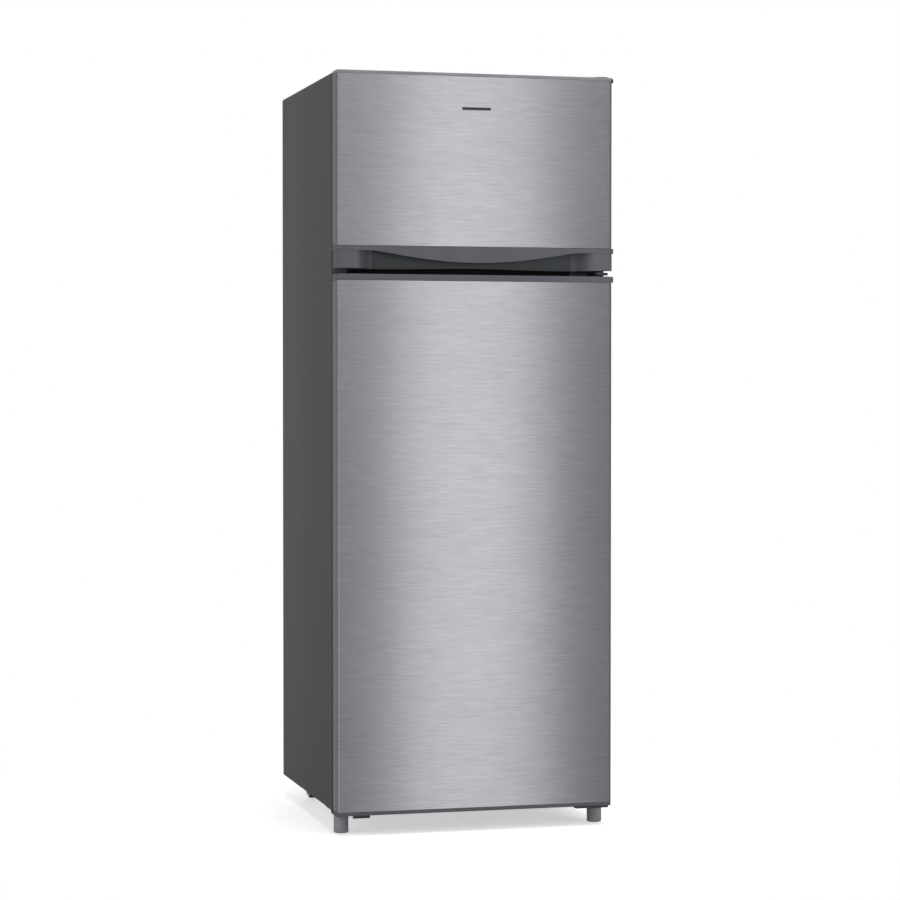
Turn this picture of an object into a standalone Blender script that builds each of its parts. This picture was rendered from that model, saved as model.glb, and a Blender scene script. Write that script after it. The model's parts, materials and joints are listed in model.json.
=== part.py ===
"""Top freezer refrigerator, two doors hinged on the right, built as it would come apart on a bench.

Frame: metres, +Z up, +X to the right of someone facing the doors, +Y to the back.
The origin lies on the floor below the middle of the cabinet.
"""

import math
from dataclasses import dataclass

import bmesh
import bpy
from mathutils import Matrix, Vector

# Overall sizes
WIDTH = 0.535
DEPTH = 0.550
BODY_TOP = 1.424

# Clearances between touching pieces, and how far a cutter runs past the face it opens
CLEAR = 0.0003
CUT = 0.010

# Sheet steel of the cabinet and the doors, and the plastic of the liners
SHEET = 0.001
LINER = 0.0015

# Cabinet
CABINET_BOTTOM = 0.042
CABINET_EDGE = 0.004
FRONT_FLANGE = 0.030
BASE_LIP = 0.030
GASKET_SPACE = 0.010
CONDENSER_SPACE = 0.025
FRIDGE_WALL = 0.038
FREEZER_WALL = 0.050
TOP_WALL = 0.054
FLOOR_WALL = 0.043
FRIDGE_BACK_WALL = 0.040
FREEZER_BACK_WALL = 0.060
MULLION = 0.066
MULLION_PLATE = 0.058
LINER_CORNER = 0.012

# Compressor bay at the lower back
BAY_DEPTH = 0.180
BAY_HEIGHT = 0.213
BAY_FRONT_WALL = 0.035
BAY_ROOF_WALL = 0.045

# Doors
DOOR_DEPTH = 0.042
DOOR_BOTTOM = 0.038
DOOR_GAP = 0.0105
FREEZER_DOOR_HEIGHT = 0.3665
DOOR_EDGE = 0.006
SKIN_LIP = 0.008
CAP_PLUG = 0.012
FREEZER_TOP_CAP = 0.006
FRIDGE_TOP_CAP = 0.0115
FRIDGE_BOTTOM_CAP = 0.007
RIDGE_INSET = 0.010
RIDGE_WIDTH = 0.020
RIDGE_HEIGHT = 0.028
RIDGE_CORNER = 0.010
GASKET_WIDTH = 0.016
GASKET_MARGIN = 0.012
GASKET_CORNER = 0.006
GASKET_SIDE = 0.0203

# Finger pocket in the trim below the freezer door
HANDLE_HEIGHT = 0.0425
POCKET_DEPTH = 0.030
POCKET_PILLAR = 0.036
POCKET_TAPER = 0.037
POCKET_ROOF = 0.0035
FASCIA = 0.003
FASCIA_END = 0.0095
FASCIA_DROOP = 0.0209
FASCIA_DROOP_MARGIN = 0.070
FASCIA_DROOP_POWER = 1.2

# Hinges on the right
HINGE_INSET = 0.018
HINGE_SETBACK = 0.022
PIN_RADIUS = 0.0035
PIN_ENGAGEMENT = 0.012
PIN_END_CLEARANCE = 0.001
BOSS_RADIUS = 0.024
HINGE_PLATE = 0.003
HINGE_PLATE_HALF = 0.014
HINGE_PLATE_REACH = 0.058
TONGUE = 0.005
HINGE_FLANGE = 0.002
HINGE_FLANGE_HEIGHT = 0.026
HINGE_FLANGE_WIDTH = 0.066
HINGE_COVER_HEIGHT = 0.006
HINGE_COVER_WALL = 0.0015
HINGE_COVER_SETBACK = 0.008
HINGE_COVER_LENGTH = 0.065

# Brackets, feet and rollers below the cabinet
BRACKET_SHEET = 0.0035
BRACKET_DROP = 0.0015
BRACKET_WIDTH = 0.065
BRACKET_STEP = 0.023
BRACKET_LENGTH = 0.073
BRACKET_NOSE = 0.022
FOOT_RADIUS = 0.0142
FOOT_SETBACK = 0.001
FOOT_ROUNDING = 0.003
STUD_RADIUS = 0.004
AXLE_RADIUS = 0.003
ROLLER_RADIUS = 0.018
ROLLER_WIDTH = 0.018
ROLLER_INSET = 0.052
ROLLER_SETBACK = 0.050
EAR_SHEET = 0.002
EAR_LENGTH = 0.024
EAR_END = 0.006

# Shelves, bins and the crisper
SHELF_GLASS = 0.004
SHELF_SETBACK = 0.103
SHELF_SIDE_GAP = 0.003
SHELF_BACK_GAP = 0.006
SHELF_TRIM_DEPTH = 0.014
SHELF_TRIM_HEIGHT = 0.016
SHELF_TRIM_LIP = 0.009
LEDGE_WIDTH = 0.008
LEDGE_HEIGHT = 0.010
CRISPER_WALL = 0.002
CRISPER_SIDE_GAP = 0.010
CRISPER_TOP_GAP = 0.017
CRISPER_GRIP = 0.007
FREEZER_SHELF_RISE = 0.135
FREEZER_SHELF_PLATE = 0.003
FREEZER_SHELF_RIM = 0.012
BIN_WALL = 0.002
BIN_CORNER = 0.014
FRIDGE_BIN_DEPTH = 0.098
FREEZER_BIN_DEPTH = 0.080
BIN_HEIGHTS = {"bottle": 0.110, "middle": 0.085, "upper": 0.085, "freezer": 0.070}

# Control box on the ceiling of the fridge
CONTROL_HEIGHT = 0.040
CONTROL_WIDTH = 0.314
CONTROL_DEPTH = 0.165
CONTROL_SIDE_GAP = 0.008
CONTROL_SETBACK = 0.038
CONTROL_EDGE = 0.006
CONTROL_WALL = 0.004
LAMP_BAY_WIDTH = 0.130
LAMP_BAY_INSET = 0.015
LENS_SHEET = 0.003
BULB_RADIUS = 0.012
BULB_LENGTH = 0.075
BULB_NECK_SHARE = 0.6
BULB_NECK_END = 0.35
BULB_BELLY_START = 0.55
BULB_BELLY_END = 0.85
KNOB_RADIUS = 0.016
KNOB_DEPTH = 0.013
KNOB_CHAMFER = 0.002
KNOB_INSET = 0.124
KNOB_SHAFT_RADIUS = 0.003
KNOB_SHAFT_LENGTH = 0.020
SWITCH_INSET = 0.012
SWITCH_RADIUS = 0.004
SWITCH_LENGTH = 0.036

# Cooling circuit
COMPRESSOR_X = -0.100
COMPRESSOR_RADIUS = 0.0775
COMPRESSOR_SHELL = 0.003
COMPRESSOR_LOWER = 0.078
COMPRESSOR_DOME = 0.022
DOME_FLAT_SHARE = 0.45
DOME_SHOULDER_SHARE = 0.80
DOME_SHOULDER_DROP = 0.25
PUMP_FOOT_SHARE = 0.30
PUMP_FRAME_SHARE = 0.80
PUMP_MOTOR_SHARE = 0.55
COMPRESSOR_LIFT = 0.018
MOUNT_HALF_X = 0.082
MOUNT_HALF_Y = 0.045
MOUNT_RADIUS = 0.010
MOUNT_BUSH_RADIUS = 0.008
STARTER_WIDTH = 0.034
STARTER_DEPTH = 0.056
STARTER_HEIGHT = 0.050
GLAND_RADIUS = 0.007
GLAND_BORE = 0.004
GLAND_LENGTH = 0.010
TRAY_WIDTH = 0.140
TRAY_DEPTH = 0.110
TRAY_HEIGHT = 0.020
TRAY_WALL = 0.0015
TRAY_HEADROOM = 0.0097
PIPE_RADIUS = 0.003
COIL_TUBE_RADIUS = 0.0025
COIL_PITCH = 0.080
COIL_MARGIN = 0.035
COIL_BOTTOM = 0.060
COIL_TOP = 0.140
COIL_CORNER = 0.008
STRAP_WIDTH = 0.014
STRAP_SHEET = 0.0015
STRAP_SPREAD = 0.160
DRIER_RADIUS = 0.009
DRIER_LENGTH = 0.100
DRIER_NECK = 0.004
EVAPORATOR_SHEET = 0.002
EVAPORATOR_MARGIN = 0.040

# Planes and axes that follow from the sizes above
SIDE = WIDTH / 2
FRONT = -DEPTH / 2
DOOR_BACK = FRONT + DOOR_DEPTH
CABINET_FRONT = DOOR_BACK + GASKET_SPACE
CABINET_BACK = DEPTH / 2 - CONDENSER_SPACE
FREEZER_DOOR_BOTTOM = BODY_TOP - FREEZER_DOOR_HEIGHT
FRIDGE_DOOR_TOP = FREEZER_DOOR_BOTTOM - DOOR_GAP
MULLION_CENTRE = (FREEZER_DOOR_BOTTOM + FRIDGE_DOOR_TOP) / 2
BAY_FRONT = CABINET_BACK - BAY_DEPTH
BAY_TOP = CABINET_BOTTOM + BAY_HEIGHT
HUMP_FRONT = BAY_FRONT - BAY_FRONT_WALL
HUMP_TOP = BAY_TOP + BAY_ROOF_WALL
HINGE_X = SIDE - HINGE_INSET
HINGE_Y = FRONT + HINGE_SETBACK
FOOT_X = SIDE - HINGE_INSET
FOOT_Y = CABINET_FRONT + FOOT_SETBACK
ROLLER_X = SIDE - ROLLER_INSET
ROLLER_Y = CABINET_BACK - ROLLER_SETBACK
BRACKET_TOP = DOOR_BOTTOM - BRACKET_DROP
BRACKET_UNDER = BRACKET_TOP - BRACKET_SHEET
SHELF_FRONT = CABINET_FRONT + SHELF_SETBACK
COMPRESSOR_Y = (BAY_FRONT + CABINET_BACK) / 2
PLATE_TOP = CABINET_BOTTOM + EAR_SHEET
COMPRESSOR_BOTTOM = PLATE_TOP + COMPRESSOR_LIFT
COMPRESSOR_SEAM = COMPRESSOR_BOTTOM + COMPRESSOR_LOWER
COMPRESSOR_TOP = BAY_TOP - TRAY_HEADROOM - TRAY_HEIGHT - CLEAR


@dataclass(frozen=True)
class Compartment:
    """The clear space inside a liner: half its width, its floor, ceiling and back."""

    half: float
    floor: float
    ceiling: float
    back: float


FREEZER = Compartment(
    half=SIDE - FREEZER_WALL,
    floor=MULLION_CENTRE + MULLION / 2,
    ceiling=BODY_TOP - TOP_WALL,
    back=CABINET_BACK - FREEZER_BACK_WALL,
)
FRIDGE = Compartment(
    half=SIDE - FRIDGE_WALL,
    floor=CABINET_BOTTOM + FLOOR_WALL,
    ceiling=MULLION_CENTRE - MULLION / 2,
    back=CABINET_BACK - FRIDGE_BACK_WALL,
)

CONTROL_BOTTOM = FRIDGE.ceiling - CONTROL_HEIGHT
CONTROL_FRONT = CABINET_FRONT + CONTROL_SETBACK
CONTROL_RIGHT = FRIDGE.half - CONTROL_SIDE_GAP
CONTROL_LEFT = CONTROL_RIGHT - CONTROL_WIDTH
CONTROL_MIDDLE = CONTROL_BOTTOM + CONTROL_HEIGHT / 2
KNOB_X = CONTROL_RIGHT - KNOB_INSET
SWITCH_X = CONTROL_RIGHT - SWITCH_INSET
RIDGE_TOP_Y = DOOR_BACK + RIDGE_HEIGHT
CRISPER_COVER = HUMP_TOP - LINER / 2 + LEDGE_HEIGHT + CLEAR
SHELF_SPACING = (FRIDGE.ceiling - CRISPER_COVER) / 4

# Where each moving body turns or slides; a body without an entry stays with the cabinet
PIVOTS = {
    "freezer_door": (HINGE_X, HINGE_Y, (FREEZER_DOOR_BOTTOM + BODY_TOP) / 2),
    "fridge_door": (HINGE_X, HINGE_Y, (DOOR_BOTTOM + FRIDGE_DOOR_TOP) / 2),
    "crisper": (0.0, SHELF_FRONT, FRIDGE.floor),
    "lamp_switch": (SWITCH_X, CONTROL_FRONT, CONTROL_MIDDLE),
    "thermostat_knob": (KNOB_X, CONTROL_FRONT, CONTROL_MIDDLE),
    "front_foot_left": (-FOOT_X, FOOT_Y, 0.0),
    "front_foot_right": (FOOT_X, FOOT_Y, 0.0),
    "rear_roller_left": (-ROLLER_X, ROLLER_Y, ROLLER_RADIUS),
    "rear_roller_right": (ROLLER_X, ROLLER_Y, ROLLER_RADIUS),
}

# Colour (linear), roughness and metallic value of each finish
FINISHES = {
    "painted_steel": ((0.075, 0.075, 0.079), 0.45, 0.0),
    "stainless": ((0.46, 0.46, 0.47), 0.30, 1.0),
    "grey_trim": ((0.105, 0.103, 0.112), 0.42, 0.2),
    "foot_grey": ((0.13, 0.13, 0.14), 0.60, 0.0),
    "white_liner": ((0.80, 0.82, 0.83), 0.35, 0.0),
    "clear_plastic": ((0.72, 0.80, 0.84), 0.12, 0.0),
    "shelf_glass": ((0.55, 0.68, 0.66), 0.05, 0.0),
    "gasket_rubber": ((0.09, 0.09, 0.095), 0.75, 0.0),
    "foam": ((0.75, 0.62, 0.33), 0.90, 0.0),
    "zinc_steel": ((0.50, 0.50, 0.49), 0.38, 1.0),
    "black_enamel": ((0.012, 0.012, 0.013), 0.40, 0.0),
    "copper": ((0.72, 0.32, 0.18), 0.30, 1.0),
    "aluminium": ((0.80, 0.81, 0.82), 0.35, 1.0),
    "black_plastic": ((0.02, 0.02, 0.02), 0.50, 0.0),
    "bulb_glass": ((0.92, 0.90, 0.84), 0.10, 0.0),
}


# ---------------------------------------------------------------- outlines


def arc(centre, radius, start, end, steps):
    """Return points along an arc, angles in degrees."""
    angles = [math.radians(start + (end - start) * i / steps) for i in range(steps + 1)]
    return [(centre[0] + radius * math.cos(a), centre[1] + radius * math.sin(a)) for a in angles]


def rounded(a, b, radius, steps=2):
    """Return a rectangle with round corners: a and b are its (low, high) spans."""
    corners = [
        ((a[1] - radius, b[1] - radius), 0),
        ((a[0] + radius, b[1] - radius), 90),
        ((a[0] + radius, b[0] + radius), 180),
        ((a[1] - radius, b[0] + radius), 270),
    ]
    points = []
    for centre, turn in corners:
        points += arc(centre, radius, turn, turn + 90, steps)
    return points


def arch(half, bottom, top, radius, steps=3):
    """Return the outline of the cabinet from the front: square at the floor, round at the top."""
    right = arc((half - radius, top - radius), radius, 0, 90, steps)
    left = arc((radius - half, top - radius), radius, 90, 180, steps)
    return [(-half, bottom), (half, bottom)] + right + left


def door_plan(inset, back, steps=4):
    """Return a door's outline from above, shrunk by inset, with round front edges."""
    half = SIDE - inset
    front = FRONT + inset
    radius = DOOR_EDGE - inset
    left = arc((radius - half, front + radius), radius, 180, 270, steps)
    right = arc((half - radius, front + radius), radius, 270, 360, steps)
    return [(-half, back)] + left + right + [(half, back)]


# ---------------------------------------------------------------- solids


def at(axis, a, b, along):
    """Return the 3-D point of a 2-D point that is placed at a distance along an axis."""
    if axis == "X":
        return Vector((along, a, b))
    if axis == "Y":
        return Vector((a, along, b))
    return Vector((a, b, along))


def put_in_scene(shape):
    """Turn a bmesh into an object of the scene whose faces point out."""
    bmesh.ops.recalc_face_normals(shape, faces=shape.faces)
    mesh = bpy.data.meshes.new("shape")
    shape.to_mesh(mesh)
    shape.free()
    piece = bpy.data.objects.new("shape", mesh)
    bpy.context.scene.collection.objects.link(piece)
    return piece


def loft(rings, closed=False):
    """Join rings of points, each to the next; the ends are capped, or joined when closed."""
    shape = bmesh.new()
    loops = [[shape.verts.new(point) for point in ring] for ring in rings]
    pairs = list(zip(loops, loops[1:]))
    if closed:
        pairs.append((loops[-1], loops[0]))
    for low, high in pairs:
        for i, vertex in enumerate(low):
            j = (i + 1) % len(low)
            shape.faces.new((vertex, low[j], high[j], high[i]))
    if not closed:
        shape.faces.new(loops[0])
        shape.faces.new(loops[-1])
    return put_in_scene(shape)


def prism(outline, axis, span):
    """Extrude an outline along an axis between the two values of span."""
    return loft([[at(axis, a, b, along) for a, b in outline] for along in span])


def box(x, y, z):
    """Make a box from its spans."""
    return prism([(x[0], y[0]), (x[1], y[0]), (x[1], y[1]), (x[0], y[1])], "Z", z)


def turned(profile, axis, centre, sides=16, closed=False):
    """Turn a profile of (radius, distance along the axis) round an axis."""
    rings = []
    for radius, along in profile:
        circle = [2 * math.pi * i / sides for i in range(sides)]
        rings.append([
            at(axis, centre[0] + radius * math.cos(t), centre[1] + radius * math.sin(t), along)
            for t in circle
        ])
    return loft(rings, closed)


def rod(radius, axis, centre, span, sides=12):
    """Make a plain round rod along an axis."""
    return turned([(radius, span[0]), (radius, span[1])], axis, centre, sides)


def tray(a, b, axis, floor, rim, wall, radius):
    """Make an open tray: outer spans a and b, closed at floor, open at rim, walls of one thickness."""
    inner_floor = floor + math.copysign(wall, rim - floor)
    inner_a = (a[0] + wall, a[1] - wall)
    inner_b = (b[0] + wall, b[1] - wall)
    outer = rounded(a, b, radius)
    inner = rounded(inner_a, inner_b, radius - wall)
    steps = [(outer, floor), (outer, rim), (inner, rim), (inner, inner_floor)]
    return loft([[at(axis, p, q, along) for p, q in ring] for ring, along in steps])


def bend(path, radius, steps=3):
    """Round the corners of a path of 3-D points with arcs of about the given radius."""
    points = [Vector(path[0])]
    for before, corner, after in zip(path, path[1:], path[2:]):
        corner = Vector(corner)
        start = corner + (Vector(before) - corner).normalized() * radius
        end = corner + (Vector(after) - corner).normalized() * radius
        for i in range(steps + 1):
            t = i / steps
            points.append(start * (1 - t) ** 2 + corner * 2 * t * (1 - t) + end * t ** 2)
    points.append(Vector(path[-1]))
    return points


def tube(points, radius, sides=6):
    """Sweep a circle along a path without twisting it."""
    tangents = []
    for i in range(len(points)):
        ahead = points[min(i + 1, len(points) - 1)]
        behind = points[max(i - 1, 0)]
        tangents.append((ahead - behind).normalized())
    normal = tangents[0].orthogonal().normalized()
    rings = []
    for point, tangent in zip(points, tangents):
        normal = (normal - tangent * normal.dot(tangent)).normalized()
        side = tangent.cross(normal)
        angles = [2 * math.pi * k / sides for k in range(sides)]
        rings.append([point + radius * (normal * math.cos(t) + side * math.sin(t)) for t in angles])
    return loft(rings)


def combine(piece, others, operation):
    """Add other shapes to a piece, or take them away from it, one after the other."""
    for other in others:
        modifier = piece.modifiers.new("combine", "BOOLEAN")
        modifier.operation = operation
        modifier.solver = "EXACT"
        modifier.object = other
    depsgraph = bpy.context.evaluated_depsgraph_get()
    result = bpy.data.meshes.new_from_object(piece.evaluated_get(depsgraph))
    piece.modifiers.clear()
    before = piece.data
    piece.data = result
    bpy.data.meshes.remove(before)
    for other in others:
        bpy.data.meshes.remove(other.data)
    return piece


def joined(piece, *others):
    """Return a piece with other shapes fused to it."""
    return combine(piece, others, "UNION")


def cut(piece, *others):
    """Return a piece with other shapes cut out of it."""
    return combine(piece, others, "DIFFERENCE")


# ---------------------------------------------------------------- naming and placing


def material(finish):
    """Return the material of a finish, made the first time it is asked for."""
    known = bpy.data.materials.get(finish)
    if known:
        return known
    colour, roughness, metallic = FINISHES[finish]
    made = bpy.data.materials.new(finish)
    made.use_nodes = True
    shader = made.node_tree.nodes["Principled BSDF"]
    shader.inputs["Base Color"].default_value = (*colour, 1.0)
    shader.inputs["Roughness"].default_value = roughness
    shader.inputs["Metallic"].default_value = metallic
    return made


def pivot(body):
    """Return the empty that carries a moving body, made the first time it is asked for."""
    known = bpy.data.objects.get(body + "_pivot")
    if known:
        return known
    empty = bpy.data.objects.new(body + "_pivot", None)
    empty.location = PIVOTS[body]
    bpy.context.scene.collection.objects.link(empty)
    return empty


def piece_of(body, name, finish, piece):
    """Name a finished piece, dress it, and hang it on its body with its origin at the pivot."""
    piece.name = name
    piece.data.name = name
    piece.data.materials.clear()
    piece.data.materials.append(material(finish))
    piece.data.shade_smooth()
    piece.data.set_sharp_from_angle(angle=math.radians(30))
    if body in PIVOTS:
        piece.data.transform(Matrix.Translation(-Vector(PIVOTS[body])))
        piece.parent = pivot(body)


# ---------------------------------------------------------------- cabinet


def make_wrap():
    """One sheet folded over the two sides and the top, with flanges turned in at the front."""
    shell = prism(arch(SIDE, CABINET_BOTTOM, BODY_TOP, CABINET_EDGE), "Y", (CABINET_FRONT, CABINET_BACK))
    hollow = prism(
        arch(SIDE - SHEET, CABINET_BOTTOM - CUT, BODY_TOP - SHEET, CABINET_EDGE - SHEET),
        "Y",
        (CABINET_FRONT + SHEET, CABINET_BACK + CUT),
    )
    reach = SIDE - FRONT_FLANGE
    mouth = box(
        (-reach, reach),
        (CABINET_FRONT - CUT, CABINET_FRONT + CUT),
        (CABINET_BOTTOM - CUT, BODY_TOP - FRONT_FLANGE),
    )
    piece_of("root", "cabinet_wrap", "painted_steel", cut(shell, hollow, mouth))


def make_back_panel():
    """Flat sheet that closes the back above the compressor bay."""
    gap = SHEET + CLEAR
    outline = arch(SIDE - gap, BAY_TOP + CLEAR, BODY_TOP - gap, CABINET_EDGE - SHEET)
    panel = prism(outline, "Y", (CABINET_BACK - SHEET, CABINET_BACK))
    piece_of("root", "back_panel", "zinc_steel", panel)


def make_base():
    """Bottom sheet: flat below the fridge, then up and back over the compressor bay."""
    half = SIDE - SHEET - CLEAR
    start = CABINET_FRONT + SHEET + CLEAR
    outline = [
        (start, CABINET_BOTTOM),
        (BAY_FRONT, CABINET_BOTTOM),
        (BAY_FRONT, BAY_TOP - SHEET),
        (CABINET_BACK, BAY_TOP - SHEET),
        (CABINET_BACK, BAY_TOP),
        (BAY_FRONT - SHEET, BAY_TOP),
        (BAY_FRONT - SHEET, CABINET_BOTTOM + SHEET),
        (start, CABINET_BOTTOM + SHEET),
    ]
    base = prism(outline, "X", (-half, half))
    lip_half = SIDE - FRONT_FLANGE - CLEAR
    lip = box(
        (-lip_half, lip_half),
        (CABINET_FRONT, CABINET_FRONT + SHEET),
        (CABINET_BOTTOM, CABINET_BOTTOM + BASE_LIP),
    )
    tongue = box(
        (-lip_half, lip_half),
        (CABINET_FRONT + SHEET / 2, start + SHEET),
        (CABINET_BOTTOM, CABINET_BOTTOM + SHEET),
    )
    base = joined(base, tongue, lip)
    hole = rod(PIPE_RADIUS + CLEAR, "Z", (riser_x(), riser_y()), (BAY_TOP - CUT, BAY_TOP + CUT))
    piece_of("root", "cabinet_base", "zinc_steel", cut(base, hole))


def make_mullion_plate():
    """Steel strip between the two openings, which the gaskets' magnets hold to."""
    half = SIDE - FRONT_FLANGE - CLEAR
    strip = box(
        (-half, half),
        (CABINET_FRONT, CABINET_FRONT + SHEET),
        (MULLION_CENTRE - MULLION_PLATE / 2, MULLION_CENTRE + MULLION_PLATE / 2),
    )
    piece_of("root", "mullion_plate", "painted_steel", strip)


def fridge_profile(grow):
    """Return the fridge space from the side, with the step over the compressor bay."""
    return [
        (CABINET_FRONT - grow, FRIDGE.floor - grow),
        (HUMP_FRONT + grow, FRIDGE.floor - grow),
        (HUMP_FRONT + grow, HUMP_TOP - grow),
        (FRIDGE.back + grow, HUMP_TOP - grow),
        (FRIDGE.back + grow, FRIDGE.ceiling + grow),
        (CABINET_FRONT - grow, FRIDGE.ceiling + grow),
    ]


def front_flange(opening_half, floor, ceiling, bottom, top):
    """Make a liner's flat front edge, which lies in the plane of the cabinet's front."""
    half = SIDE - FRONT_FLANGE - CLEAR
    plate = box((-half, half), (CABINET_FRONT, CABINET_FRONT + LINER), (bottom, top))
    mouth = box(
        (-opening_half, opening_half),
        (CABINET_FRONT - CUT, CABINET_FRONT + CUT),
        (floor, ceiling),
    )
    return cut(plate, mouth)


def ledges(half, shelves, start, end):
    """Make the pairs of moulded ledges that shelves lie on, a little sunk into the liner's walls."""
    blocks = []
    for shelf in shelves:
        for sign in (-1, 1):
            inner = sign * (half - LEDGE_WIDTH)
            outer = sign * (half + LINER / 2)
            span = (min(inner, outer), max(inner, outer))
            blocks.append(box(span, (start, end), (shelf - CLEAR - LEDGE_HEIGHT, shelf - CLEAR)))
    return blocks


def make_freezer_liner():
    """Moulded white box of the freezer, with a flat flange round its mouth."""
    half = FREEZER.half + LINER
    shell = prism(
        rounded((-half, half), (FREEZER.floor - LINER, FREEZER.ceiling + LINER), LINER_CORNER + LINER),
        "Y",
        (CABINET_FRONT, FREEZER.back + LINER),
    )
    flange = front_flange(
        FREEZER.half - CUT,
        FREEZER.floor + CUT,
        FREEZER.ceiling - CUT,
        MULLION_CENTRE + MULLION_PLATE / 2 + CLEAR,
        BODY_TOP - FRONT_FLANGE - CLEAR,
    )
    hollow = prism(
        rounded((-FREEZER.half, FREEZER.half), (FREEZER.floor, FREEZER.ceiling), LINER_CORNER),
        "Y",
        (CABINET_FRONT - CUT, FREEZER.back),
    )
    liner = cut(joined(shell, flange), hollow)
    rails = ledges(FREEZER.half, [freezer_shelf_height()], SHELF_FRONT, FREEZER.back + LINER / 2)
    piece_of("root", "freezer_liner", "white_liner", joined(liner, *rails))


def make_fridge_liner():
    """Moulded white box of the fridge, with a step for the compressor and ledges for the shelves."""
    half = FRIDGE.half + LINER
    outer = fridge_profile(LINER)
    outer[0] = (CABINET_FRONT, outer[0][1])
    outer[-1] = (CABINET_FRONT, outer[-1][1])
    shell = prism(outer, "X", (-half, half))
    flange = front_flange(
        FRIDGE.half - CUT,
        FRIDGE.floor + CUT,
        FRIDGE.ceiling - CUT,
        CABINET_BOTTOM + BASE_LIP + CLEAR,
        MULLION_CENTRE - MULLION_PLATE / 2 - CLEAR,
    )
    inner = fridge_profile(0)
    inner[0] = (CABINET_FRONT - CUT, inner[0][1])
    inner[-1] = (CABINET_FRONT - CUT, inner[-1][1])
    hollow = prism(inner, "X", (-FRIDGE.half, FRIDGE.half))
    liner = cut(joined(shell, flange), hollow)
    start = SHELF_FRONT + SHELF_TRIM_DEPTH + CLEAR
    rails = ledges(FRIDGE.half, shelf_heights().values(), start, FRIDGE.back + LINER / 2)
    piece_of("root", "fridge_liner", "white_liner", joined(liner, *rails))


def make_insulation():
    """Foam that fills the cabinet between its steel and the two liners."""
    gap = SHEET + CLEAR
    start = CABINET_FRONT + LINER + CLEAR
    back = CABINET_BACK - gap
    block = prism(
        arch(SIDE - gap, CABINET_BOTTOM + gap, BODY_TOP - gap, CABINET_EDGE - SHEET),
        "Y",
        (start, back),
    )
    bay = box(
        (-WIDTH, WIDTH),
        (BAY_FRONT - gap, CABINET_BACK + CUT),
        (CABINET_BOTTOM - CUT, BAY_TOP + CLEAR),
    )
    grow = LINER + CLEAR
    freezer = prism(
        rounded(
            (-FREEZER.half - grow, FREEZER.half + grow),
            (FREEZER.floor - grow, FREEZER.ceiling + grow),
            LINER_CORNER + grow,
        ),
        "Y",
        (start - CUT, FREEZER.back + grow),
    )
    outer = fridge_profile(grow)
    outer[0] = (start - CUT, outer[0][1])
    outer[-1] = (start - CUT, outer[-1][1])
    fridge = prism(outer, "X", (-FRIDGE.half - grow, FRIDGE.half + grow))
    plate_half, low, high = evaporator_spans()
    evaporator = box(
        (-plate_half - CLEAR, plate_half + CLEAR),
        (FREEZER.back, FREEZER.back + grow + EVAPORATOR_SHEET + CLEAR),
        (low - CLEAR, high + CLEAR),
    )
    channel = PIPE_RADIUS + CLEAR
    riser = box(
        (riser_x() - channel, riser_x() + channel),
        (riser_y() - channel, back + CUT),
        (BAY_TOP - CUT, suction_height() + channel),
    )
    feed = box(
        (riser_x() - channel, riser_x() + channel),
        (FREEZER.back + LINER, riser_y()),
        (suction_height() - channel, suction_height() + channel),
    )
    elbow = box(
        (riser_x() - channel, riser_x() + channel),
        (riser_y() - CUT, riser_y()),
        (suction_height() - CUT, suction_height()),
    )
    foam = cut(block, bay, freezer, fridge, evaporator, riser, feed, elbow)
    piece_of("root", "insulation_foam", "foam", foam)


# ---------------------------------------------------------------- hinges, feet and rollers


def make_top_hinge():
    """Plate on top of the cabinet that reaches over the freezer door, with its pin."""
    low = BODY_TOP + CLEAR
    outline = rounded(
        (HINGE_X - HINGE_PLATE_HALF, HINGE_X + HINGE_PLATE_HALF),
        (HINGE_Y - HINGE_PLATE_HALF + CLEAR, CABINET_FRONT + HINGE_PLATE_REACH),
        HINGE_PLATE_HALF / 2,
    )
    plate = prism(outline, "Z", (low, low + HINGE_PLATE))
    pin = rod(PIN_RADIUS, "Z", (HINGE_X, HINGE_Y), (BODY_TOP - PIN_ENGAGEMENT, low + HINGE_PLATE / 2))
    piece_of("root", "top_hinge", "zinc_steel", joined(plate, pin))


def make_top_hinge_cover():
    """Low plastic cover over the screws of the top hinge, open to the front for its plate."""
    low = BODY_TOP + CLEAR
    top = BODY_TOP + HINGE_COVER_HEIGHT
    start = CABINET_FRONT + HINGE_COVER_SETBACK
    end = start + HINGE_COVER_LENGTH
    inner = HINGE_PLATE_HALF + CLEAR
    outer = inner + HINGE_COVER_WALL
    shell = box((HINGE_X - outer, HINGE_X + outer), (start, end), (low, top))
    hollow = box(
        (HINGE_X - inner, HINGE_X + inner),
        (start - CUT, end - HINGE_COVER_WALL),
        (low - CUT, low + HINGE_PLATE + CLEAR),
    )
    piece_of("root", "top_hinge_cover", "black_plastic", cut(shell, hollow))


def make_middle_hinge():
    """Bracket on the front between the doors, with one pin up and one pin down."""
    back = CABINET_FRONT - CLEAR
    right = HINGE_X + HINGE_PLATE_HALF
    outline = rounded(
        (HINGE_X - HINGE_PLATE_HALF, right),
        (HINGE_Y - HINGE_PLATE_HALF, back),
        HINGE_PLATE_HALF / 2,
    )
    tongue = prism(outline, "Z", (MULLION_CENTRE - TONGUE / 2, MULLION_CENTRE + TONGUE / 2))
    flange = box(
        (right - HINGE_FLANGE_WIDTH, right),
        (back - HINGE_FLANGE, back),
        (MULLION_CENTRE - HINGE_FLANGE_HEIGHT / 2, MULLION_CENTRE + HINGE_FLANGE_HEIGHT / 2),
    )
    reach = DOOR_GAP / 2 + PIN_ENGAGEMENT
    pin = rod(PIN_RADIUS, "Z", (HINGE_X, HINGE_Y), (MULLION_CENTRE - reach, MULLION_CENTRE + reach))
    piece_of("root", "middle_hinge", "zinc_steel", joined(tongue, flange, pin))


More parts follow.
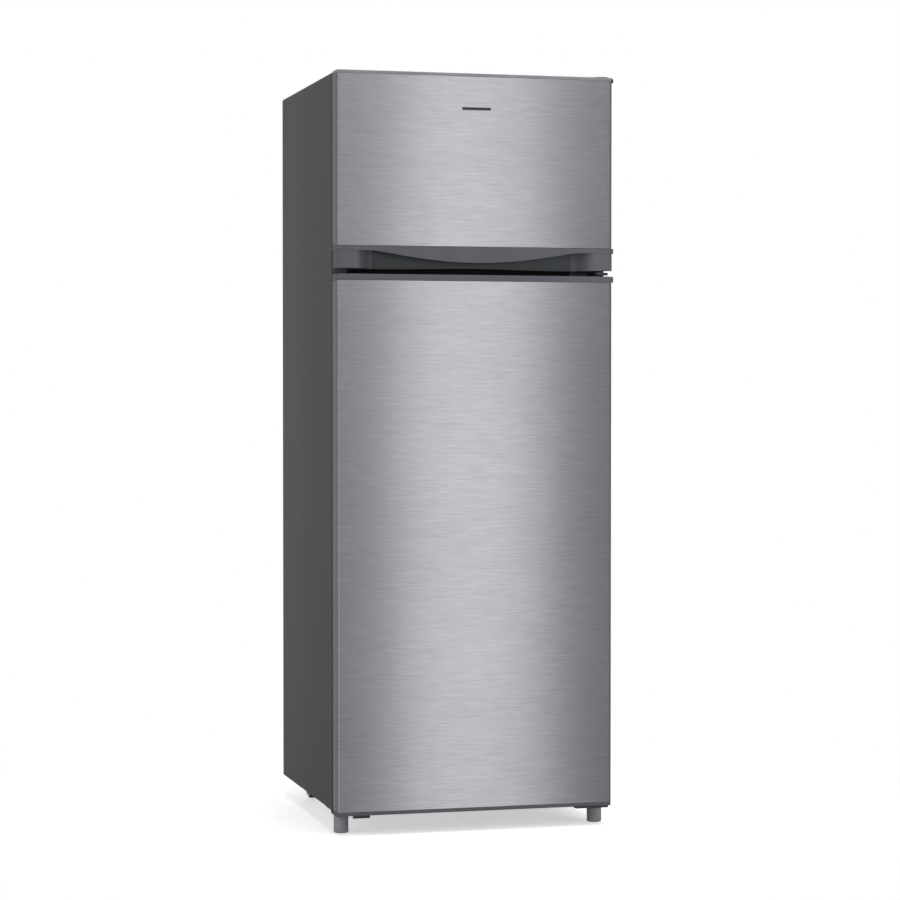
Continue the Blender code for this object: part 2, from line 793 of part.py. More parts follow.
def foot_bracket(left, right, nose, foot_x):
    """Make a stepped bracket below the cabinet, with a hole for a foot's stud."""
    step = FOOT_Y + BRACKET_STEP
    rear_top = CABINET_BOTTOM - CLEAR
    rear_under = rear_top - BRACKET_SHEET
    outline = [
        (nose, BRACKET_UNDER),
        (step, BRACKET_UNDER),
        (step, rear_under),
        (FOOT_Y + BRACKET_LENGTH, rear_under),
        (FOOT_Y + BRACKET_LENGTH, rear_top),
        (step - BRACKET_SHEET, rear_top),
        (step - BRACKET_SHEET, BRACKET_TOP),
        (nose, BRACKET_TOP),
    ]
    plate = prism(outline, "X", (left, right))
    hole = rod(STUD_RADIUS + CLEAR, "Z", (foot_x, FOOT_Y), (BRACKET_UNDER - CUT, BRACKET_TOP + CUT))
    return cut(plate, hole)


def make_bottom_hinge():
    """Bracket below the fridge door that carries its lower pin and the right foot."""
    right = HINGE_X + HINGE_PLATE_HALF
    bracket = foot_bracket(right - BRACKET_WIDTH, right, HINGE_Y - HINGE_PLATE_HALF, FOOT_X)
    pin = rod(
        PIN_RADIUS,
        "Z",
        (HINGE_X, HINGE_Y),
        (BRACKET_TOP - BRACKET_SHEET / 2, DOOR_BOTTOM + PIN_ENGAGEMENT),
    )
    piece_of("root", "bottom_hinge", "zinc_steel", joined(bracket, pin))


def make_left_foot_bracket():
    """Bracket that carries the left foot."""
    left = -HINGE_X - HINGE_PLATE_HALF
    bracket = foot_bracket(left, left + BRACKET_WIDTH, FOOT_Y - BRACKET_NOSE, -FOOT_X)
    piece_of("root", "left_foot_bracket", "zinc_steel", bracket)


def make_front_feet():
    """Two levelling feet, each a plastic foot round a threaded stud."""
    shoulder = BRACKET_UNDER - CLEAR
    profile = [
        (FOOT_RADIUS - FOOT_ROUNDING, 0.0),
        (FOOT_RADIUS, FOOT_ROUNDING),
        (FOOT_RADIUS, shoulder),
        (STUD_RADIUS, shoulder),
        (STUD_RADIUS, CABINET_BOTTOM - CLEAR),
    ]
    for side, sign in (("left", -1), ("right", 1)):
        name = "front_foot_" + side
        piece_of(name, name, "foot_grey", turned(profile, "Z", (sign * FOOT_X, FOOT_Y)))


def make_compressor_plate():
    """Plate across the compressor bay, with four ears that hold the rear axle."""
    half = SIDE - SHEET - CLEAR
    plate = box((-half, half), (BAY_FRONT + CLEAR, CABINET_BACK - CUT), (CABINET_BOTTOM, PLATE_TOP))
    ears = []
    inner = ROLLER_WIDTH / 2 + CLEAR
    for sign in (-1, 1):
        for near in (-inner - EAR_SHEET, inner):
            start = sign * ROLLER_X + near
            ears.append(box(
                (start, start + EAR_SHEET),
                (ROLLER_Y - EAR_LENGTH / 2, ROLLER_Y + EAR_LENGTH / 2),
                (EAR_END, CABINET_BOTTOM + EAR_SHEET / 2),
            ))
    plate = joined(plate, *ears)
    bore = rod(AXLE_RADIUS + CLEAR, "X", (ROLLER_Y, ROLLER_RADIUS), (-SIDE, SIDE))
    piece_of("root", "compressor_plate", "zinc_steel", cut(plate, bore))


def make_rear_axle():
    """Steel rod that runs through both rear rollers."""
    half = ROLLER_X + ROLLER_WIDTH / 2 + EAR_SHEET + AXLE_RADIUS
    axle = rod(AXLE_RADIUS, "X", (ROLLER_Y, ROLLER_RADIUS), (-half, half))
    piece_of("root", "rear_axle", "zinc_steel", axle)


def make_rear_rollers():
    """Two plastic rollers that turn on the rear axle."""
    bore = AXLE_RADIUS + CLEAR
    for side, sign in (("left", -1), ("right", 1)):
        low = sign * ROLLER_X - ROLLER_WIDTH / 2
        high = low + ROLLER_WIDTH
        profile = [(bore, low), (ROLLER_RADIUS, low), (ROLLER_RADIUS, high), (bore, high)]
        name = "rear_roller_" + side
        roller = turned(profile, "X", (ROLLER_Y, ROLLER_RADIUS), sides=20, closed=True)
        piece_of(name, name, "black_plastic", roller)


# ---------------------------------------------------------------- doors


def pin_bore(low, high):
    """Make the cutter of a blind hole for a hinge pin."""
    return rod(PIN_RADIUS + CLEAR, "Z", (HINGE_X, HINGE_Y), (low, high))


def boss(low, high):
    """Make the round hinge knuckle that shows past a door's right side."""
    inner = SIDE - DOOR_EDGE
    reach = math.sqrt(BOSS_RADIUS ** 2 - (inner - HINGE_X) ** 2)
    spread = math.degrees(math.asin(reach / BOSS_RADIUS))
    outline = arc((HINGE_X, HINGE_Y), BOSS_RADIUS, -spread, spread, 8)
    return prism(outline, "Z", (low, high))


def cap(low, high, plug_end):
    """Make a door's moulded end piece with the plug that fits into its skin."""
    slab = prism(door_plan(0, DOOR_BACK), "Z", (low, high))
    gap = SHEET + CLEAR
    plug_low = min(plug_end, (low + high) / 2)
    plug_high = max(plug_end, (low + high) / 2)
    plug = prism(door_plan(gap, DOOR_BACK - LINER - CLEAR), "Z", (plug_low, plug_high))
    return joined(slab, plug)


def door_skin(bottom, top):
    """Make a door's steel pan: the front, the two sides and a lip behind each side."""
    outer = door_plan(0, DOOR_BACK)
    inner = door_plan(SHEET, DOOR_BACK - SHEET)
    lip = SIDE - SKIN_LIP
    outline = outer + [(lip, DOOR_BACK), (lip, DOOR_BACK - SHEET)] + inner[::-1]
    outline += [(-lip, DOOR_BACK - SHEET), (-lip, DOOR_BACK)]
    return prism(outline, "Z", (bottom, top))


def ridge_spans(space):
    """Return half the width, the bottom and the top of the ridge that enters a compartment."""
    return space.half - RIDGE_INSET, space.floor + RIDGE_INSET, space.ceiling - RIDGE_INSET


def door_liner(bottom, top, space):
    """Make a door's inner sheet with the hollow ridge that stands round its bins."""
    edge = SIDE - SKIN_LIP - CLEAR
    half, low, high = ridge_spans(space)
    corner = RIDGE_CORNER
    inner = RIDGE_WIDTH

    def ring(inset, y):
        outline = rounded((inset - half, half - inset), (low + inset, high - inset), corner)
        return [at("Y", a, b, y) for a, b in outline]

    def edge_ring(y):
        outline = rounded((-edge, edge), (bottom, top), SHEET)
        return [at("Y", a, b, y) for a, b in outline]

    face = DOOR_BACK
    under = DOOR_BACK - LINER
    crest = RIDGE_TOP_Y
    rings = [
        ring(inner, face),
        ring(inner, crest),
        ring(0, crest),
        ring(0, face),
        edge_ring(face),
        edge_ring(under),
        ring(LINER, under),
        ring(LINER, crest - LINER),
        ring(inner - LINER, crest - LINER),
        ring(inner - LINER, under),
    ]
    return loft(rings)


def door_foam(bottom, top):
    """Make the foam between a door's skin and its liner."""
    outline = door_plan(SHEET + CLEAR, DOOR_BACK - LINER - CLEAR)
    return prism(outline, "Z", (bottom, top))


def door_gasket(bottom, top):
    """Make the magnetic seal, a frame between the door and the cabinet."""
    half = SIDE - GASKET_SIDE
    low = bottom + GASKET_MARGIN
    high = top - GASKET_MARGIN
    outer = rounded((-half, half), (low, high), GASKET_CORNER)
    inner = rounded(
        (GASKET_WIDTH - half, half - GASKET_WIDTH),
        (low + GASKET_WIDTH, high - GASKET_WIDTH),
        GASKET_CORNER,
    )
    near = DOOR_BACK + CLEAR
    far = CABINET_FRONT - CLEAR
    steps = [(outer, near), (outer, far), (inner, far), (inner, near)]
    return loft([[at("Y", a, b, y) for a, b in ring] for ring, y in steps], closed=True)


def door_bin(space, floor, height, depth):
    """Make a bin that fits between the two sides of a door's ridge."""
    half = ridge_spans(space)[0] - RIDGE_WIDTH - CLEAR
    start = DOOR_BACK + CLEAR
    return tray((-half, half), (start, start + depth), "Z", floor, floor + height, BIN_WALL, BIN_CORNER)


def pocket_end(t):
    """Return how far the pocket has narrowed at a share t of its depth, along a smooth S."""
    return POCKET_TAPER * t * t * (3 - 2 * t)


def pocket_plan():
    """Return the finger pocket from above, behind its fascia."""
    steps = 6
    right = []
    for i in range(steps + 1):
        y = FASCIA + (POCKET_DEPTH - FASCIA) * i / steps
        right.append((SIDE - POCKET_PILLAR - pocket_end(y / POCKET_DEPTH), FRONT + y))
    return right + [(-x, y) for x, y in right[::-1]]


def fascia_edge():
    """Return the lower edge of the fascia from the front, drooping in the middle."""
    mouth = SIDE - POCKET_PILLAR
    reach = SIDE - FASCIA_DROOP_MARGIN
    ends = FREEZER_DOOR_BOTTOM + HANDLE_HEIGHT - FASCIA_END
    steps = 14
    edge = [(-mouth, ends)]
    for i in range(steps + 1):
        share = 2 * i / steps - 1
        edge.append((share * reach, ends - FASCIA_DROOP * (1 - share * share) ** FASCIA_DROOP_POWER))
    return edge + [(mouth, ends)]


def make_handle():
    """Trim along the bottom of the freezer door, with the finger pocket that opens downwards."""
    bottom = FREEZER_DOOR_BOTTOM
    top = bottom + HANDLE_HEIGHT
    trim = joined(cap(bottom, top, top + CAP_PLUG), boss(bottom, top))
    mouth = SIDE - POCKET_PILLAR
    pocket = prism(pocket_plan(), "Z", (bottom - CUT, top - POCKET_ROOF))
    window = prism(
        fascia_edge() + [(mouth, bottom - CUT), (-mouth, bottom - CUT)],
        "Y",
        (FRONT - CUT, FRONT + FASCIA + SHEET),
    )
    bore = pin_bore(bottom - CUT, bottom + PIN_ENGAGEMENT + PIN_END_CLEARANCE)
    piece_of("freezer_door", "freezer_door_handle", "grey_trim", cut(trim, pocket, window, bore))


def make_freezer_door():
    """The freezer door's pieces except its handle."""
    skin_bottom = FREEZER_DOOR_BOTTOM + HANDLE_HEIGHT + CLEAR
    skin_top = BODY_TOP - FREEZER_TOP_CAP - CLEAR
    plug_low = skin_bottom - CLEAR + CAP_PLUG
    plug_high = skin_top + CLEAR - CAP_PLUG
    piece_of("freezer_door", "freezer_door_skin", "stainless", door_skin(skin_bottom, skin_top))
    lid = cut(
        cap(BODY_TOP - FREEZER_TOP_CAP, BODY_TOP, plug_high),
        pin_bore(BODY_TOP - PIN_ENGAGEMENT - PIN_END_CLEARANCE, BODY_TOP + CUT),
    )
    piece_of("freezer_door", "freezer_door_top_cap", "grey_trim", lid)
    piece_of("freezer_door", "freezer_door_liner", "white_liner", door_liner(skin_bottom, skin_top, FREEZER))
    foam = door_foam(plug_low + CLEAR, plug_high - CLEAR)
    piece_of("freezer_door", "freezer_door_foam", "foam", foam)
    gasket = door_gasket(FREEZER_DOOR_BOTTOM, BODY_TOP)
    piece_of("freezer_door", "freezer_door_gasket", "gasket_rubber", gasket)
    low = ridge_spans(FREEZER)[1] + RIDGE_WIDTH + RIDGE_CORNER
    high = ridge_spans(FREEZER)[2] - RIDGE_WIDTH
    for i, name in enumerate(("lower", "upper")):
        floor = low + i * (high - low) / 2
        bin_piece = door_bin(FREEZER, floor, BIN_HEIGHTS["freezer"], FREEZER_BIN_DEPTH)
        piece_of("freezer_door", "freezer_door_bin_" + name, "clear_plastic", bin_piece)


def make_fridge_door():
    """The fridge door's pieces."""
    bottom_edge = DOOR_BOTTOM + FRIDGE_BOTTOM_CAP
    top_edge = FRIDGE_DOOR_TOP - FRIDGE_TOP_CAP
    skin_bottom = bottom_edge + CLEAR
    skin_top = top_edge - CLEAR
    plug_low = bottom_edge + CAP_PLUG
    plug_high = top_edge - CAP_PLUG
    piece_of("fridge_door", "fridge_door_skin", "stainless", door_skin(skin_bottom, skin_top))
    lid = joined(cap(top_edge, FRIDGE_DOOR_TOP, plug_high), boss(top_edge, FRIDGE_DOOR_TOP))
    lid = cut(lid, pin_bore(FRIDGE_DOOR_TOP - PIN_ENGAGEMENT - PIN_END_CLEARANCE, FRIDGE_DOOR_TOP + CUT))
    piece_of("fridge_door", "fridge_door_top_cap", "grey_trim", lid)
    sill = cut(
        cap(DOOR_BOTTOM, bottom_edge, plug_low),
        pin_bore(DOOR_BOTTOM - CUT, DOOR_BOTTOM + PIN_ENGAGEMENT + PIN_END_CLEARANCE),
    )
    piece_of("fridge_door", "fridge_door_bottom_cap", "grey_trim", sill)
    piece_of("fridge_door", "fridge_door_liner", "white_liner", door_liner(skin_bottom, skin_top, FRIDGE))
    piece_of("fridge_door", "fridge_door_foam", "foam", door_foam(plug_low + CLEAR, plug_high - CLEAR))
    piece_of("fridge_door", "fridge_door_gasket", "gasket_rubber", door_gasket(DOOR_BOTTOM, FRIDGE_DOOR_TOP))
    low = ridge_spans(FRIDGE)[1] + RIDGE_WIDTH + RIDGE_CORNER
    high = ridge_spans(FRIDGE)[2] - RIDGE_WIDTH
    for i, name in enumerate(("bottle", "middle", "upper")):
        floor = low + i * (high - low) / 3
        bin_piece = door_bin(FRIDGE, floor, BIN_HEIGHTS[name], FRIDGE_BIN_DEPTH)
        piece_of("fridge_door", "door_bin_" + name, "clear_plastic", bin_piece)


# ---------------------------------------------------------------- inside the compartments


def freezer_shelf_height():
    """Return the underside of the freezer's shelf."""
    return FREEZER.floor + FREEZER_SHELF_RISE


def shelf_heights():
    """Return the underside of each glass shelf in the fridge, from the crisper's cover up."""
    names = ("crisper_cover", "lower_shelf", "middle_shelf", "upper_shelf")
    return {name: CRISPER_COVER + i * SHELF_SPACING for i, name in enumerate(names)}


def make_freezer_shelf():
    """Pressed aluminium shelf with a raised rim along its front."""
    half = FREEZER.half - SHELF_SIDE_GAP
    low = freezer_shelf_height()
    back = FREEZER.back - SHELF_BACK_GAP
    outline = [
        (SHELF_FRONT, low),
        (back, low),
        (back, low + FREEZER_SHELF_PLATE),
        (SHELF_FRONT + FREEZER_SHELF_PLATE, low + FREEZER_SHELF_PLATE),
        (SHELF_FRONT + FREEZER_SHELF_PLATE, low + FREEZER_SHELF_RIM),
        (SHELF_FRONT, low + FREEZER_SHELF_RIM),
    ]
    piece_of("root", "freezer_shelf", "aluminium", prism(outline, "X", (-half, half)))


def make_shelves():
    """Glass shelves, each with the moulded trim that grips its front edge."""
    half = FRIDGE.half - SHELF_SIDE_GAP
    groove = SHELF_TRIM_DEPTH - SHELF_TRIM_LIP
    for name, low in shelf_heights().items():
        glass_front = SHELF_FRONT + groove + CLEAR
        glass = box((-half, half), (glass_front, FRIDGE.back - SHELF_BACK_GAP), (low, low + SHELF_GLASS))
        piece_of("root", name + "_glass", "shelf_glass", glass)
        middle = low + SHELF_GLASS / 2
        under = middle - SHELF_TRIM_HEIGHT / 2
        over = middle + SHELF_TRIM_HEIGHT / 2
        back = SHELF_FRONT + SHELF_TRIM_DEPTH
        outline = [
            (SHELF_FRONT, under),
            (back, under),
            (back, low - CLEAR),
            (SHELF_FRONT + groove, low - CLEAR),
            (SHELF_FRONT + groove, low + SHELF_GLASS + CLEAR),
            (back, low + SHELF_GLASS + CLEAR),
            (back, over),
            (SHELF_FRONT, over),
        ]
        piece_of("root", name + "_trim", "white_liner", prism(outline, "X", (-half, half)))


def make_crisper():
    """Deep clear drawer on the fridge's floor, with a grip along the top of its front."""
    half = FRIDGE.half - CRISPER_SIDE_GAP
    start = SHELF_FRONT + CRISPER_GRIP
    end = HUMP_FRONT - SHELF_BACK_GAP
    floor = FRIDGE.floor + CLEAR
    rim = CRISPER_COVER - CRISPER_TOP_GAP
    drawer = tray((-half, half), (start, end), "Z", floor, rim, CRISPER_WALL, BIN_CORNER)
    grip = box(
        (-half / 2, half / 2),
        (SHELF_FRONT, start + CRISPER_WALL / 2),
        (rim - 2 * CRISPER_GRIP, rim - CRISPER_GRIP),
    )
    piece_of("crisper", "crisper_drawer", "clear_plastic", joined(drawer, grip))


def lamp_bay():
    """Return the spans of the lamp's space in the control box, open below."""
    left = CONTROL_LEFT + LAMP_BAY_INSET
    front = CONTROL_FRONT + LAMP_BAY_INSET
    back = CONTROL_FRONT + CONTROL_DEPTH - LAMP_BAY_INSET
    return (left, left + LAMP_BAY_WIDTH), (front, back)


def make_control_box():
    """Moulded box on the fridge's ceiling with the lamp, the thermostat and the door switch."""
    shell = prism(
        rounded(
            (CONTROL_LEFT, CONTROL_RIGHT),
            (CONTROL_FRONT, CONTROL_FRONT + CONTROL_DEPTH),
            CONTROL_EDGE,
        ),
        "Z",
        (CONTROL_BOTTOM, FRIDGE.ceiling - CLEAR),
    )
    bay_x, bay_y = lamp_bay()
    bay = box(bay_x, bay_y, (CONTROL_BOTTOM - CUT, FRIDGE.ceiling - CLEAR - CONTROL_WALL))
    shaft = rod(
        KNOB_SHAFT_RADIUS + CLEAR,
        "Y",
        (KNOB_X, CONTROL_MIDDLE),
        (CONTROL_FRONT - CUT, CONTROL_FRONT + KNOB_SHAFT_LENGTH + CLEAR),
    )
    plunger = rod(
        SWITCH_RADIUS + CLEAR,
        "Y",
        (SWITCH_X, CONTROL_MIDDLE),
        (CONTROL_FRONT - CUT, RIDGE_TOP_Y + SWITCH_LENGTH + 2 * CLEAR),
    )
    piece_of("root", "thermostat_housing", "white_liner", cut(shell, bay, shaft, plunger))


def make_lamp():
    """Lamp in the control box and the clear lens that closes its space."""
    bay_x, bay_y = lamp_bay()
    socket = bay_x[1] - CLEAR
    neck = BULB_RADIUS * BULB_NECK_SHARE
    profile = [
        (neck, socket),
        (neck, socket - BULB_LENGTH * BULB_NECK_END),
        (BULB_RADIUS, socket - BULB_LENGTH * BULB_BELLY_START),
        (BULB_RADIUS, socket - BULB_LENGTH * BULB_BELLY_END),
        (neck / 2, socket - BULB_LENGTH),
    ]
    centre = ((bay_y[0] + bay_y[1]) / 2, CONTROL_MIDDLE)
    piece_of("root", "lamp_bulb", "bulb_glass", turned(profile, "X", centre, sides=12))
    lens = box(
        (bay_x[0] + CLEAR, bay_x[1] - CLEAR),
        (bay_y[0] + CLEAR, bay_y[1] - CLEAR),
        (CONTROL_BOTTOM, CONTROL_BOTTOM + LENS_SHEET),
    )
    piece_of("root", "lamp_lens", "clear_plastic", lens)


def make_controls():
    """The thermostat's knob and the plunger that the fridge door pushes in."""
    face = CONTROL_FRONT - CLEAR
    profile = [
        (KNOB_RADIUS - KNOB_CHAMFER, face - KNOB_DEPTH),
        (KNOB_RADIUS, face - KNOB_DEPTH + KNOB_CHAMFER),
        (KNOB_RADIUS, face),
        (KNOB_SHAFT_RADIUS, face),
        (KNOB_SHAFT_RADIUS, CONTROL_FRONT + KNOB_SHAFT_LENGTH),
    ]
    knob = turned(profile, "Y", (KNOB_X, CONTROL_MIDDLE))
    piece_of("thermostat_knob", "thermostat_knob", "white_liner", knob)
    tip = RIDGE_TOP_Y + CLEAR
    plunger = rod(SWITCH_RADIUS, "Y", (SWITCH_X, CONTROL_MIDDLE), (tip, tip + SWITCH_LENGTH))
    piece_of("lamp_switch", "lamp_switch", "white_liner", plunger)


# ---------------------------------------------------------------- cooling circuit


def make_compressor():
    """Welded compressor: two pressed cups, its mounting feet and the pump inside."""
    radius = COMPRESSOR_RADIUS
    wall = COMPRESSOR_SHELL
    bottom = COMPRESSOR_BOTTOM
    seam = COMPRESSOR_SEAM
    top = COMPRESSOR_TOP
    dome = COMPRESSOR_DOME
    centre = (COMPRESSOR_X, COMPRESSOR_Y)
    flat = radius * DOME_FLAT_SHARE
    shoulder = radius * DOME_SHOULDER_SHARE
    drop = dome * DOME_SHOULDER_DROP
    lower = turned([
        (flat, bottom),
        (shoulder, bottom + drop),
        (radius, bottom + dome),
        (radius, seam),
        (radius - wall, seam),
        (radius - wall, bottom + dome),
        (shoulder - wall, bottom + drop + wall),
        (flat, bottom + wall),
    ], "Z", centre, sides=20)
    mount_x = (COMPRESSOR_X - MOUNT_HALF_X - MOUNT_RADIUS, COMPRESSOR_X + MOUNT_HALF_X + MOUNT_RADIUS)
    mount_y = (COMPRESSOR_Y - MOUNT_HALF_Y - MOUNT_RADIUS, COMPRESSOR_Y + MOUNT_HALF_Y + MOUNT_RADIUS)
    plate = prism(rounded(mount_x, mount_y, MOUNT_RADIUS), "Z", (bottom - wall / 2, bottom + wall / 2))
    legs = [
        rod(MOUNT_BUSH_RADIUS, "Z", (COMPRESSOR_X + sx * MOUNT_HALF_X, COMPRESSOR_Y + sy * MOUNT_HALF_Y),
            (PLATE_TOP + CLEAR, bottom), sides=10)
        for sx in (-1, 1)
        for sy in (-1, 1)
    ]
    piece_of("root", "compressor_lower_shell", "black_enamel", joined(lower, plate, *legs))
    upper = turned([
        (flat, top),
        (shoulder, top - drop),
        (radius, top - dome),
        (radius, seam + CLEAR),
        (radius - wall, seam + CLEAR),
        (radius - wall, top - dome - wall / 2),
        (shoulder - wall, top - drop - wall),
        (flat, top - wall),
    ], "Z", centre, sides=20)
    piece_of("root", "compressor_upper_shell", "black_enamel", upper)
    seat = bottom + wall + CLEAR
    crown = top - dome - wall
    middle = (seat + crown) / 2
    pump = turned([
        (radius * PUMP_FOOT_SHARE, seat),
        (radius * PUMP_FOOT_SHARE, seat + dome),
        (radius * PUMP_FRAME_SHARE, seat + dome),
        (radius * PUMP_FRAME_SHARE, middle),
        (radius * PUMP_MOTOR_SHARE, middle),
        (radius * PUMP_MOTOR_SHARE, crown),
    ], "Z", centre, sides=12)
    piece_of("root", "compressor_pump", "zinc_steel", pump)


def make_starter_cover():
    """Cover over the compressor's relay, with the gland that the mains lead comes in through."""
    left = COMPRESSOR_X + COMPRESSOR_RADIUS + CLEAR
    right = left + STARTER_WIDTH
    top = COMPRESSOR_SEAM - CLEAR
    low = top - STARTER_HEIGHT
    near = COMPRESSOR_Y - STARTER_DEPTH / 2
    cover = box((left, right), (near, near + STARTER_DEPTH), (low, top))
    centre = (COMPRESSOR_Y, (low + top) / 2)
    gland = rod(GLAND_RADIUS, "X", centre, (right - GLAND_LENGTH / 2, right + GLAND_LENGTH))
    bore = rod(GLAND_BORE, "X", centre, (right - GLAND_LENGTH, right + GLAND_LENGTH + CUT))
    piece_of("root", "starter_cover", "black_plastic", cut(joined(cover, gland), bore))


def make_drip_tray():
    """Open tray on top of the compressor, whose heat dries the water from the fridge."""
    spans = (
        (COMPRESSOR_X - TRAY_WIDTH / 2, COMPRESSOR_X + TRAY_WIDTH / 2),
        (COMPRESSOR_Y - TRAY_DEPTH / 2, COMPRESSOR_Y + TRAY_DEPTH / 2),
    )
    floor = COMPRESSOR_TOP + CLEAR
    bowl = tray(*spans, "Z", floor, floor + TRAY_HEIGHT, TRAY_WALL, BIN_CORNER)
    piece_of("root", "drip_tray", "black_plastic", bowl)


def coil_reach():
    """Return how far the condenser's runs reach to each side."""
    return SIDE - COIL_MARGIN


def coil_y():
    """Return the plane of the condenser's tube."""
    return DEPTH / 2 - STRAP_SHEET * 2 / 3 - COIL_TUBE_RADIUS


def drier_place():
    """Return the x, the y and the top of the filter drier."""
    return coil_reach() + PIPE_RADIUS, CABINET_BACK - COIL_MARGIN, BAY_TOP - SHEET - 2 * CUT


def make_condenser():
    """Tube behind the back panel that snakes up and comes down again, on two straps with legs."""
    low = BAY_TOP + COIL_BOTTOM
    high = BODY_TOP - COIL_TOP
    pairs = max(1, round((high - low) / (2 * COIL_PITCH)))
    pitch = (high - low) / (2 * pairs)
    y = coil_y()
    reach = coil_reach() - pitch / 2
    path = bend([(-coil_reach(), y, BAY_TOP), (-coil_reach(), y, low), (0.0, y, low)], pitch / 2)[:-1]
    for row in range(2 * pairs):
        side = 1 if row % 2 == 0 else -1
        middle = low + (row + 0.5) * pitch
        path += [Vector((side * (reach + a), y, b)) for a, b in arc((0.0, middle), pitch / 2, -90, 90, 5)]
    x, drier_y, drier_top = drier_place()
    top = Vector((x, y, high))
    corner = bend([path[-1], top, (x, y, drier_top + CUT), (x, drier_y, drier_top + CUT),
                   (x, drier_y, drier_top + CLEAR)], COIL_CORNER)
    coil = tube(path + corner[1:], COIL_TUBE_RADIUS)
    fittings = []
    for sign in (-1, 1):
        span = (sign * STRAP_SPREAD - STRAP_WIDTH / 2, sign * STRAP_SPREAD + STRAP_WIDTH / 2)
        fittings.append(box(span, (DEPTH / 2 - STRAP_SHEET, DEPTH / 2), (low - CUT, high + CUT)))
        for z in (low + pitch / 2, high - pitch / 2):
            leg = (CABINET_BACK + CLEAR, DEPTH / 2 - STRAP_SHEET / 2)
            fittings.append(box(span, leg, (z - STRAP_WIDTH / 2, z + STRAP_WIDTH / 2)))
    piece_of("root", "condenser_coil", "black_enamel", joined(coil, *fittings))


def make_drier():
    """Filter drier between the condenser and the evaporator."""
    x, y, top = drier_place()
    low = top - DRIER_LENGTH
    neck = DRIER_RADIUS
    profile = [
        (DRIER_NECK, low),
        (DRIER_RADIUS, low + neck),
        (DRIER_RADIUS, top - neck),
        (DRIER_NECK, top),
    ]
    piece_of("root", "filter_drier", "copper", turned(profile, "Z", (x, y), sides=12))


def make_discharge_pipe():
    """Pipe from the compressor to the lower end of the condenser."""
    start = COMPRESSOR_X - COMPRESSOR_RADIUS - CLEAR
    height = COMPRESSOR_SEAM - COMPRESSOR_LOWER / 3
    x = -coil_reach()
    route = [
        (start, COMPRESSOR_Y, height),
        ((start + x) / 2, COMPRESSOR_Y, height),
        (x, coil_y(), height),
        (x, coil_y(), BAY_TOP - CLEAR),
    ]
    piece_of("root", "discharge_pipe", "copper", tube(bend(route, CUT), PIPE_RADIUS))


def riser_x():
    """Return where the suction pipe goes up behind the foam."""
    return coil_reach() - COIL_MARGIN


def riser_y():
    """Return how far back the suction pipe goes up."""
    return CABINET_BACK - SHEET - 2 * PIPE_RADIUS


def suction_height():
    """Return the height at which the suction pipe reaches the evaporator."""
    return evaporator_spans()[1] + CUT


def make_suction_pipe():
    """Pipe from the evaporator down through the foam to the compressor."""
    start = COMPRESSOR_X + COMPRESSOR_RADIUS + CLEAR
    height = (COMPRESSOR_SEAM + COMPRESSOR_TOP) / 2
    plate = FREEZER.back + LINER + CLEAR + EVAPORATOR_SHEET
    route = [
        (start, COMPRESSOR_Y, height),
        (start + COMPRESSOR_RADIUS / 2, COMPRESSOR_Y, height),
        (riser_x(), riser_y(), height),
        (riser_x(), riser_y(), suction_height()),
        (riser_x(), plate + CLEAR, suction_height()),
    ]
    piece_of("root", "suction_pipe", "copper", tube(bend(route, CUT), PIPE_RADIUS))


def evaporator_spans():
    """Return half the width, the bottom and the top of the evaporator behind the freezer's back."""
    margin = EVAPORATOR_MARGIN
    return FREEZER.half - margin / 2, FREEZER.floor + margin, FREEZER.ceiling - margin


def make_evaporator():
    """Flat evaporator plate against the back of the freezer liner."""
    half, low, high = evaporator_spans()
    start = FREEZER.back + LINER + CLEAR
    plate = box((-half, half), (start, start + EVAPORATOR_SHEET), (low, high))
    piece_of("root", "evaporator_plate", "aluminium", plate)


# ---------------------------------------------------------------- the whole refrigerator


def main():
    """Empty the scene and build every piece."""
    for item in list(bpy.data.objects):
        bpy.data.objects.remove(item)
    make_wrap()
    make_back_panel()
    make_base()
    make_mullion_plate()
    make_insulation()
    make_freezer_liner()
    make_fridge_liner()
    make_top_hinge()
    make_top_hinge_cover()
    make_middle_hinge()
    make_bottom_hinge()
    make_left_foot_bracket()
    make_front_feet()
    make_compressor_plate()
    make_rear_axle()
    make_rear_rollers()
    make_handle()
    make_freezer_door()
    make_fridge_door()
    make_freezer_shelf()
    make_shelves()
    make_crisper()
    make_control_box()
    make_lamp()
    make_controls()
    make_compressor()
    make_starter_cover()
    make_drip_tray()
    make_condenser()
    make_drier()
    make_discharge_pipe()
    make_suction_pipe()
    make_evaporator()


main()
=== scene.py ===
"""Looks of a top freezer refrigerator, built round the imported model's frame.

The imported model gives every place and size. This script gives its visible pieces their final shape
and finish, and sets up a plain studio with a pale floor, soft lamps and a camera.
"""

from __future__ import annotations

import json
import logging
import math
from dataclasses import dataclass
from enum import Enum
from typing import Iterable, Sequence

